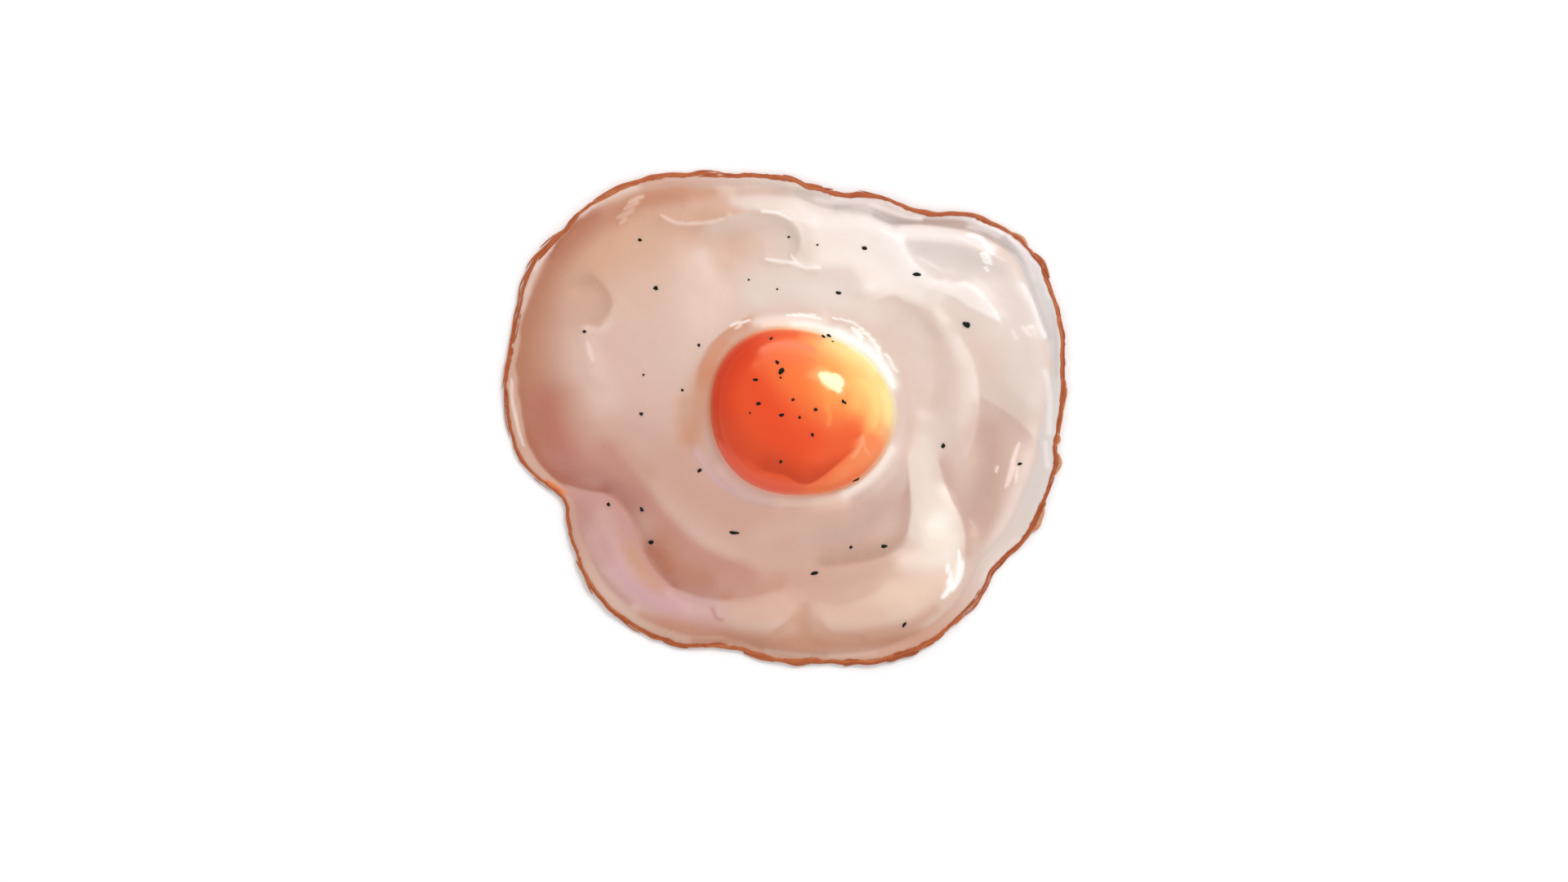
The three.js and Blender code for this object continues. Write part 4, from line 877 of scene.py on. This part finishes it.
yolkFinish = {
    "ground": "#f06035", "rimWidth": 0.05, "rimShare": 0.85, "paintedGlint": {"power": 4, "taper": 0.3},
    # soft noises as length, detail and roughness, and the bump's strength and distance
    "roughness": 0.1, "cloudiness": 0.05, "cloud": (6, 2, 0.5), "ripple": (2, 2, 0.5), "bump": (0.1, 0.1),
    "shader": {"IOR": 1.38, "Specular IOR Level": 0.3, "Specular Tint": (1, 0.88, 0.55, 1),
               "Subsurface Weight": 0.4, "Subsurface Radius": (1, 0.5, 0.3), "Subsurface Scale": 0.002},
}

# tints of the yolk, most of them painted light and shade, yellow towards the lamp at the upper right and
# deep red away from it: tint, share, width to the left and right of its line, line
yolkTintAndPaintedLight = [
    ("#ff9e57", 0.9, 8, 8, [(0, 18), (10, 10), (14, 0)]),
    ("#fa8448", 0.85, 5, 5, [(-3, 9), (4, 4), (9, -3)]),
    ("#ffdc92", 0.95, 5.5, 4.2, [(7, 16.5), (15.5, 10), (20, 2), (19, -4.6)]),
    ("#ffe296", 0.45, 3.4, 3.4, [(11, 13), (14.6, 8.6), (16.6, 2)]),
    ("#ff9656", 0.6, 2.6, 2.6, [(10, -0.6), (12.6, -2.8), (15.4, -3.6)]),
    ("#f5683c", 0.5, 2.2, 2.2, [(-8, 16.2), (-3, 17), (3, 17.2)]),
    ("#ea5832", 0.75, 1.6, 1.4, [(-9.5, 15.4), (-6, 16.6), (-2, 16.8)]),
    ("#fffdb8", 0.6, 0.6, 1, [(11, 14.2), (14, 11.7), (16, 9.4)]),
    ("#ffeca4", 0.7, 1.4, 1.4, [(18.6, 4), (19.2, 0), (18.6, -4.4)]),
    ("#d63c1c", 0.95, 6, 7, [(-13, 14), (-19.6, 4), (-17, -9)]),
    ("#ea4d29", 0.8, 6, 6, [(-9, 4), (-5, -5), (2, -8)]),
    ("#f87a3e", 0.7, 3.5, 3.5, [(-4, 9), (-1, 6), (2, 4)]),
    # a lighter crescent of painted bounce light from the white along the lower rim, and the core's dark
    # lower boundary
    ("#f46a50", 0.95, 2, 4.5, [(-18.4, -8), (-11, -15), (-2, -17.6), (4, -17.4)]),
    ("#ff8050", 1, 3.4, 4.4, [(3.4, -17.2), (8, -15)]),
    ("#ff925f", 1, 3.4, 4.4, [(10, -13.8), (13.6, -9.8), (17.6, -7)]),
    ("#de5231", 0.85, 4, 0.35, [(-19.4, -4.2), (-15.6, -6.8), (-12.2, -9.6), (-10.4, -11.2), (-7, -12.8)]),
    ("#d34727", 0.9, 4, 0.35, [(-7.4, -12.8), (-3.6, -13.7), (-1, -15.2), (1.4, -15.5), (4, -14), (7, -11.6),
                               (9.8, -9)]),
    ("#e65c34", 0.8, 4, 0.35, [(9.4, -9.3), (11, -7.6), (12, -5.8)]),
    ("#f6683c", 0.6, 4, 2, [(4, -10), (8, -7.6), (11, -4)]),
    ("#ff7c4a", 0.75, 1.6, 2.6, [(2, -18), (8, -16.6), (12, -13.4)]),
    ("#ff8a56", 0.8, 0.5, 3, [(12.8, -6), (15, -5.4), (17.6, -5.6)]),
    ("#ffb478", 0.7, 1.6, 1.6, [(17.4, -4.4), (19, -6.6)]),
    ("#ffb48c", 0.6, 0.3, 0.6, [(13.2, -5.6), (12.6, -7.8), (11.2, -9.8)]),
    ("#ffb48c", 0.5, 0.3, 0.3, [(13.3, -6), (13.6, -8), (14.6, -9.4)]),
    # soft light along the far side
    ("#fd8a6a", 0.75, 0.5, 2, [(-8.4, 13.9), (-6, 14.8), (-1.6, 15), (2, 13.9)]),
    ("#f8784f", 0.5, 0.6, 1.8, [(-10, 10.6), (-6, 12), (0, 11.6), (4, 10)]),
    # painted light: yellow streaks, and the ground of the painted highlight
    ("#ffc070", 0.75, 2.6, 2.6, [(10.8, 8), (11.8, 5), (11.8, 2)]),
    ("#ffa85a", 0.75, 3, 3, [(5, 9), (5, 6), (6.6, 3.4)]),
    ("#ffdc88", 0.55, 0.3, 2.2, [(13.6, 6.6), (15.9, 4.2), (16.6, 0), (16.2, -2.4)]),
    ("#ffa862", 0.45, 0.3, 0.8, [(5.4, 1.4), (6, -0.6), (5.9, -2.6)]),
]
# the painted highlight and the thin painted sparkles beside it, as crisp dabs
yolkPaintedGlints = [
    ("#fffbc4", 1, 1.3, 1.8, [(4.2, 8), (5.6, 7.2), (7.2, 6), (7.9, 4.8)]),
    ("#fffbc8", 1, 0.9, 1.5, [(4.6, 7.8), (6.2, 7.1), (8, 6)]),
    ("#fffbc8", 1, 0.8, 0.8, [(6.9, 8), (8, 6.8), (8.4, 5.6)]),
]
# the rim's tint by bearing, partly a film of white and partly painted light that lifts the shade of the
# steep rim, yellow on the lit side
yolkRim = [[0, "#ffe9bd"], [60, "#fff0c8"], [105, "#ffb880"], [135, "#ee7450"], [180, "#d85c3c"],
           [205, "#dc5236"], [225, "#e65c40"], [260, "#ff8464"], [300, "#ff9058"], [335, "#ffb684"]]


def yolkPaint(x, y):
    # tints with painted light and shade over the ground, a blurred rim lightened with painted light, and the
    # painted highlight on top
    bearing = bearingOf(x, y)
    colour = painted(x, y, np.array(paint(yolkFinish["ground"])), yolkTintAndPaintedLight)
    # a film of white blurs the rim, and painted light lifts the shade of its steep wall
    share = np.hypot(x, y) / yolkEdge(bearing)
    rim = yolkFinish["rimShare"] * ease((share - 1 + yolkFinish["rimWidth"]) / yolkFinish["rimWidth"])
    colour = colour + (aroundTint(yolkRim)(bearing) - colour) * rim[..., None]
    return painted(x, y, colour, yolkPaintedGlints, **yolkFinish["paintedGlint"])


def yolkMaterial():
    material, start = newMaterial("soft yolk")
    place = start.place()
    bump = place.noise(*yolkFinish["ripple"]).bump(*yolkFinish["bump"])
    roughness = yolkFinish["roughness"] + place.noise(*yolkFinish["cloud"]) * yolkFinish["cloudiness"]
    colour = start.attribute("paint", "Color")
    return finishMaterial(material, start, {
        "Base Color": colour, "Roughness": roughness, "Normal": bump}, yolkFinish["shader"])


# flecks as x, y, length, width, turn
whiteFlecks = [
    (36.1, 19.3, 1.9, 1.4, 144), (-15, -26.6, 2.3, 0.8, 174), (25.1, 30.3, 1.5, 0.8, 167),
    (2.8, -35.5, 1.7, 0.7, 6), (30.9, -7.5, 1.1, 0.9, 70), (13.6, 36.1, 1.5, 0.8, 160),
    (17.9, -29.6, 1.4, 0.7, 3), (-33.4, -28.7, 1, 0.8, 165), (22.4, -46.9, 1.3, 0.7, 55),
    (8, 26.2, 1.2, 0.7, 175), (-22.6, -12.9, 0.9, 0.8, 20), (-32.3, 27.3, 1.1, 0.8, 135),
    (-35.4, -0.4, 1, 0.8, 6), (47.8, -11.4, 1.1, 0.7, 0), (-35.4, -21.5, 1.1, 0.7, 129),
    (-42.8, -20.4, 1, 0.7, 98), (-35.9, 37.9, 0.9, 0.7, 0),
]
yolkFlecks = [
    (-4.6, 8.7, 1.5, 1.2, 40), (11.7, -14.9, 1.8, 0.7, 12), (-9.6, 1.7, 1.4, 0.7, 12),
    (8.9, 2.1, 1.3, 0.7, 140), (-5.5, 10.7, 1.1, 0.8, 131), (-4.6, -0.8, 1.2, 0.6, 9),
    (-10.2, 6.9, 1.1, 0.6, 0), (4.6, 16.4, 1.05, 1, 0), (2.8, 0.4, 0.8, 0.7, 0),
    (-4.8, -10.9, 0.8, 0.7, 90), (-6.9, 15.9, 0.8, 0.7, 45), (2.1, -5, 0.8, 0.7, 90),
]
# dust too fine for the solids
whiteDust = [(10.7, -29.8, 0.7, 0.6, 90), (-26.4, 4.8, 0.7, 0.6, 135), (-3, 38.6, 0.7, 0.5, 30),
             (-48, 17.7, 0.7, 0.6, 0), (-22.8, 14.7, 1, 0.6, 152), (-5.5, 27.1, 0.5, 0.5, 0),
             (-11.8, 29.1, 0.5, 0.5, 0), (-35, 8.2, 0.5, 0.5, 0), (3.3, 36.8, 0.5, 0.5, 0)]
yolkDust = [(-2.1, 2.6, 0.7, 0.6, 108), (-0.6, -1.3, 0.6, 0.6, 0), (-4.8, 7.3, 0.5, 0.5, 0),
            (-11.4, -0.3, 0.5, 0.5, 0), (5.8, 16.5, 1, 1, 90), (6.6, 15.3, 0.5, 0.5, 0)]


pepper = {
    "seed": 7, "columns": 12, "rows": 7,
    "waves": 6, "waveCount": 2.4, "raggedness": 0.11, "phaseRange": 6.28,
    "halfThickness": 0.5,  # half of a fleck's thickness, as a share of its width
    "sunk": 0.1,  # how deep it sits in what is below it, as a share of its half thickness
    "slopeStep": 0.4,  # millimetres to each side over which the slope below a fleck is read
}


def fleckMesh(rng):
    # a unit ball on a grid of angles, as angular as ground pepper: its radius is
    # 1 + raggedness * the sum of sin(wave . point + phase) over random waves
    u, v = np.meshgrid(np.linspace(0, 2 * np.pi, pepper["columns"] + 1)[:-1],
                       np.linspace(0, np.pi, pepper["rows"] + 2)[1:-1])
    ball = np.stack([np.sin(v) * np.cos(u), np.sin(v) * np.sin(u), np.cos(v)], -1)
    waves = rng.normal(size=(pepper["waves"], 3)) * pepper["waveCount"]
    phases = rng.uniform(0, pepper["phaseRange"], pepper["waves"])
    points = np.vstack([[[0, 0, 1]], ball.reshape(-1, 3), [[0, 0, -1]]])
    radius = 1 + pepper["raggedness"] * np.sin(points @ waves.T + phases).sum(1)
    return points * radius[:, None], [face[::-1] for face in skinFaces(*ball.shape[:2])]


def makePepper():
    # each fleck lies on the surface below it, leaning with its slope
    rng = np.random.default_rng(pepper["seed"])
    step = pepper["slopeStep"]
    meshes = []
    for flecks, topZ in ((whiteFlecks + whiteDust, whiteTopZ), (yolkFlecks + yolkDust, yolkTopZ)):
        for x, y, long, wide, turn in flecks:
            z = topZ(x + step * np.array([0, 1, -1, 0, 0]), y + step * np.array([0, 0, 0, 1, -1]))
            normal = Vector((z[2] - z[1], z[4] - z[3], 2 * step)).normalized()
            lean = Vector((0, 0, 1)).rotation_difference(normal).to_matrix()
            spin = Matrix.Rotation(math.radians(turn), 3, "Z")
            thick = wide * pepper["halfThickness"]
            points, faces = fleckMesh(rng)
            points = points * (long / 2, wide / 2, thick) @ np.array(lean @ spin).T
            points += np.array([x, y, z[0]]) - np.array(normal) * thick * pepper["sunk"]
            meshes.append((points, faces))
    return finishMesh("pepper", *joined(meshes))


pepperFinish = {
    # noise of the specks, and the tints from its low to its high
    "speck": (0.35, 3, 0.6), "tints": [(0.3, "#03100c"), (0.6, "#081811"), (0.8, "#1c2018")],
    "roughness": 0.45, "roughnessSpread": 0.3, "bump": (0.6, 0.08),
    "shader": {"IOR": 1.45, "Specular IOR Level": 0.2},
}


def pepperMaterial():
    material, start = newMaterial("ground pepper")
    place = start.place()
    speck = place.noise(*pepperFinish["speck"])
    colour = start.node("ShaderNodeValToRGB", {"stops": pepperFinish["tints"]}, {"Fac": speck})
    roughness = pepperFinish["roughness"] + speck * pepperFinish["roughnessSpread"]
    return finishMaterial(material, start, {
        "Base Color": colour, "Roughness": roughness, "Normal": speck.bump(*pepperFinish["bump"]),
    }, pepperFinish["shader"])


crispEdge = {
    "seed": 31, "around": 8, "rowsPerDegree": 4, "fewestRows": 12,
    # strokes all round: how many, their length in degrees, half width, and how far inside the edge they run
    "kinds": [
        {"count": 12, "length": (40, 64), "half": (0.3, 0.42), "inside": (0.15, 0.5)},
        {"count": 44, "length": (9, 26), "half": (0.24, 0.46), "inside": (-0.25, 0.8)},
        {"count": 30, "length": (3, 8), "half": (0.14, 0.26), "inside": (-0.45, 0.4)},
    ],
    "shake": 0.4, "drift": 0.5, "tone": 0.6,
    # broad strokes where the browning bunches up: bearing, length in degrees, half width, how far inside
    "broad": [
        (54, 8, 0.45, 0.5), (62, 6, 0.35, 0.35), (77, 8, 0.3, 0.3), (102, 9, 0.3, 0.3),
        (115, 10, 0.38, 0.35), (138, 9, 0.35, 0.45), (144.5, 12, 0.85, 0.9), (152, 12, 0.3, 0.5),
        (199, 7, 0.32, 0.35), (228, 8, 0.32, 0.4), (241, 5, 0.28, -0.25), (259, 10, 0.42, 0.4),
        (260, 8, 0.45, -0.3), (292.5, 8, 0.55, -0.45), (31.5, 6.5, 0.45, -0.35), (26, 7, 0.6, 0.6),
        (19, 8, 0.42, 0.2), (79.6, 7, 0.5, 0.6), (123.6, 7, 0.6, 0.35), (141, 7, 0.5, 0.35),
        (87.5, 6, 0.45, -0.2), (270, 9, 0.55, 0.7), (279, 9, 0.38, 0.4), (294, 9, 0.45, 0.45),
        (301, 7, 0.32, 0.35), (324, 6, 0.3, 0.3)],
    "broadDrift": 0.3, "broadTone": 0.5,
    # the same of the pale flaps, which bow out from the edge
    "flaps": [(348.6, 7, 0.5, -0.65), (353.9, 3.6, 0.35, -0.55), (335.5, 7, 0.65, -1),
              (3.2, 8.5, 0.32, -0.45), (38.5, 6, 0.4, -0.5)],
    "bow": 1.1, "flapDrift": 0.2, "flapTone": 1,
    # thin loose strands: bearing, length in degrees, half width, and how far inside the edge each end is
    "loose": [
        (173.7, 4, 0.2, 0.1, -0.6), (149.8, 6, 0.3, 0.1, -0.8), (155, 4, 0.24, 0.05, -0.55),
        (179.5, 6, 0.2, -0.15, -0.5), (218.8, 5, 0.28, 0.2, -0.65), (215, 4, 0.26, -0.55, 0.15),
        (230, 8, 0.24, -0.1, -0.45), (242, 5, 0.22, -0.05, -0.5), (317, 5, 0.24, 0.05, -0.35),
        (310, 9, 0.26, -0.3, -0.5), (296.5, 7, 0.26, 0, -0.55), (328, 5, 0.22, -0.45, 0.05),
        (282, 6, 0.22, -0.5, 0.05), (43, 5, 0.24, 0, -0.45)],
    "looseTone": 0.5,
    # how thick the browning is by bearing, as a share of the widths above
    "thickness": [
        [0, 0.85], [30, 0.95], [70, 1], [110, 1], [135, 0.8], [155, 0.62], [165, 0.52], [178, 0.58],
        [195, 0.75], [214, 0.68], [232, 0.72], [250, 1], [275, 1.2], [298, 1.05], [306, 0.75],
        [312, 0.6], [332, 0.92], [345, 0.86]],
    # the form of a stroke: how it tapers, how its width and place waver (each noise is a length and a
    # seed), how flat it is, and how far it is raised
    "taper": 0.6, "widthWaver": 0.25, "widthNoise": (2.5, 5), "placeWaver": 0.16, "placeNoise": (4, 6),
    "flatness": 0.4, "raised": (-0.05, 0.08),
    # outside the edge it sinks to this share of the edge's thickness, over this distance
    "sunkShare": 0.4, "sunkOver": 0.5,
}
crispThickness = around(crispEdge["thickness"])


def edgeTopZ(bearing, inward):
    # top of the frill and margin, and level with the middle of the edge outside it
    onTop = mix(white["frillThickness"], white["marginThickness"], ease(inward / white["frillWidth"]))
    share = mix(crispEdge["sunkShare"], 1, ease(1 + inward / crispEdge["sunkOver"]))
    return undersideZ(bearing, inward) + share * onTop


def crispStroke(middle, length, half, inside, bow, drift, rng):
    # an ellipse carried along the edge, its width half * (4t(1 - t))^taper and its distance inside the
    # edge inside + bow * (2t - 1)^2 + drift * (t - 1/2), both wavering a little
    rows = max(crispEdge["fewestRows"], int(length * crispEdge["rowsPerDegree"]))
    t = np.linspace(0, 1, rows + 2)[1:-1]
    bearing = middle + length * (t - 0.5)
    along, across = t * length, np.full(rows, middle)
    width = (half * crispThickness(bearing) * (4 * t * (1 - t)) ** crispEdge["taper"]
             * (1 + crispEdge["widthWaver"] * softNoise(along, across, *crispEdge["widthNoise"])))
    inward = (inside + bow * (2 * t - 1) ** 2 + drift * (t - 0.5)
              + crispEdge["placeWaver"] * softNoise(along, across, *crispEdge["placeNoise"]))
    reach = whiteEdge(bearing) + white["wander"] * ringWaves(bearing, wanderWaves) - inward
    z = edgeTopZ(bearing, inward) + rng.uniform(*crispEdge["raised"])
    turn = -np.arange(crispEdge["around"]) / crispEdge["around"] * 2 * np.pi
    rings = ringPoints(bearing[:, None], reach[:, None] + width[:, None] * np.cos(turn),
                       z[:, None] + crispEdge["flatness"] * width[:, None] * np.sin(turn))
    centres = ringPoints(bearing, reach, z)
    return np.vstack([centres[:1], rings.reshape(-1, 3), centres[-1:]]), skinFaces(rows, len(turn))


def makeCrispEdge():
    # overlapping strokes all round, evenly spread and then shaken, then the broad ones, flaps and strands
    rng = np.random.default_rng(crispEdge["seed"])
    shake, drift = crispEdge["shake"], crispEdge["drift"]
    strokes = []
    for kind in crispEdge["kinds"]:
        for i in range(kind["count"]):
            middle = (i + rng.uniform(-shake, shake)) * 360 / kind["count"]
            drifted = rng.uniform(-drift, drift)
            strokes.append((middle, rng.uniform(*kind["length"]), rng.uniform(*kind["half"]),
                            rng.uniform(*kind["inside"]), 0, drifted, rng.uniform(0, crispEdge["tone"])))
    strokes += [(*broad, 0, crispEdge["broadDrift"], rng.uniform(0, crispEdge["broadTone"]))
                for broad in crispEdge["broad"]]
    strokes += [(*flap, crispEdge["bow"], crispEdge["flapDrift"], crispEdge["flapTone"])
                for flap in crispEdge["flaps"]]
    strokes += [(middle, length, half, (begin + end) / 2, 0, end - begin, crispEdge["looseTone"])
                for middle, length, half, begin, end in crispEdge["loose"]]
    meshes = [crispStroke(*form, rng) for *form, tone in strokes]
    tones = np.repeat([tone for *form, tone in strokes], [len(points) for points, faces in meshes])
    return finishMesh("crisp_edge", *joined(meshes), {"tone": tones})


crispFinish = {
    # noise that shifts each stroke's tone, and the tints from a low tone to a high one
    "mottle": (1.6, 3, 0.55), "mottleShare": 0.8,
    "tints": [(0, "#a04a20"), (0.35, "#b2592c"), (0.7, "#c0713f"), (1, "#cb8f6c")],
    "roughness": 0.4, "roughnessSpread": 0.2, "grain": (0.4, 3, 0.6), "bump": (0.4, 0.08),
    "shader": {"IOR": 1.4},
}


def crispMaterial():
    material, start = newMaterial("crisp brown edge")
    place = start.place()
    mottle = place.noise(*crispFinish["mottle"])
    tone = start.attribute("tone") + (mottle - 0.5) * crispFinish["mottleShare"]
    colour = start.node("ShaderNodeValToRGB", {"stops": crispFinish["tints"]}, {"Fac": tone})
    roughness = crispFinish["roughness"] + mottle * crispFinish["roughnessSpread"]
    bump = place.noise(*crispFinish["grain"]).bump(*crispFinish["bump"])
    return finishMaterial(material, start, {
        "Base Color": colour, "Roughness": roughness, "Normal": bump}, crispFinish["shader"])


whitePiece = makeWhite()
whitePiece.data.materials.append(whiteMaterial())
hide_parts("white")
print("white:", len(whitePiece.data.polygons), "faces")

yolkPiece = makeYolk()
yolkPiece.data.materials.append(yolkMaterial())
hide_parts("yolk")
print("yolk:", len(yolkPiece.data.polygons), "faces")

pepperPiece = makePepper()
pepperPiece.data.materials.append(pepperMaterial())
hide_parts("white", "yolk")
print("pepper:", len(pepperPiece.data.polygons), "faces")

crispPiece = makeCrispEdge()
crispPiece.data.materials.append(crispMaterial())
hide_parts("white")
print("crisp edge:", len(crispPiece.data.polygons), "faces")


studio = {
    "floorColour": "#ffffff", "floorSize": 6,
    "sky": 0.77, "keyPower": 21, "keySize": (1, 0.8), "keyDistance": 2.4,
    "keyBearing": 52, "keyElevation": 53,
    "lens": 85, "sensor": 36, "cameraHeight": 0.819,
    "pixel": 0.18,  # millimetres in one pixel of a 1920 x 1080 frame
    "frameMiddle": (960, 540),
    "yolkPixel": (982.5, 504.5),  # where the yolk's centre is in it
}


def makeFloor():
    half = studio["floorSize"] / 2
    corners = [(-half, -half, 0), (half, -half, 0), (half, half, 0), (-half, half, 0)]
    mesh = bpy.data.meshes.new("floor")
    mesh.from_pydata(corners, [], [(0, 1, 2, 3)])
    floor = bpy.data.objects.new("floor", mesh)
    bpy.context.collection.objects.link(floor)
    material, start = newMaterial("pale floor")
    finishMaterial(material, start, {}, {
        "Base Color": paint(studio["floorColour"]), "Roughness": 0.7, "Specular IOR Level": 0.2})
    mesh.materials.append(material)


def makeKey():
    # one soft lamp, facing the egg from its bearing and elevation
    light = bpy.data.lights.new("key", "AREA")
    light.shape, light.energy = "RECTANGLE", studio["keyPower"]
    light.size, light.size_y = studio["keySize"]
    bearing, elevation = math.radians(studio["keyBearing"]), math.radians(studio["keyElevation"])
    level = math.cos(elevation)
    away = Vector((math.cos(bearing) * level, math.sin(bearing) * level, math.sin(elevation)))
    lamp = bpy.data.objects.new("key", light)
    lamp.location = away * studio["keyDistance"]
    lamp.rotation_euler = away.to_track_quat("Z", "Y").to_euler()
    bpy.context.collection.objects.link(lamp)


def makeCamera():
    # straight down, over the middle of the frame
    camera = bpy.data.cameras.new("camera")
    camera.lens, camera.sensor_width = studio["lens"], studio["sensor"]
    eye = bpy.data.objects.new("camera", camera)
    right = (studio["frameMiddle"][0] - studio["yolkPixel"][0]) * studio["pixel"]
    up = (studio["yolkPixel"][1] - studio["frameMiddle"][1]) * studio["pixel"]
    eye.location = ((yolkMiddle[0] + right) * mm, (yolkMiddle[1] + up) * mm, studio["cameraHeight"])
    bpy.context.collection.objects.link(eye)
    bpy.context.scene.camera = eye


def makeSky():
    world = bpy.data.worlds.new("studio")
    world.use_nodes = True
    sky = world.node_tree.nodes["Background"]
    sky.inputs["Color"].default_value = (1, 1, 1, 1)
    sky.inputs["Strength"].default_value = studio["sky"]
    bpy.context.scene.world = world


makeFloor()
makeKey()
makeCamera()
makeSky()
bpy.context.scene.view_settings.view_transform = "Standard"
print("studio: floor, light, camera")
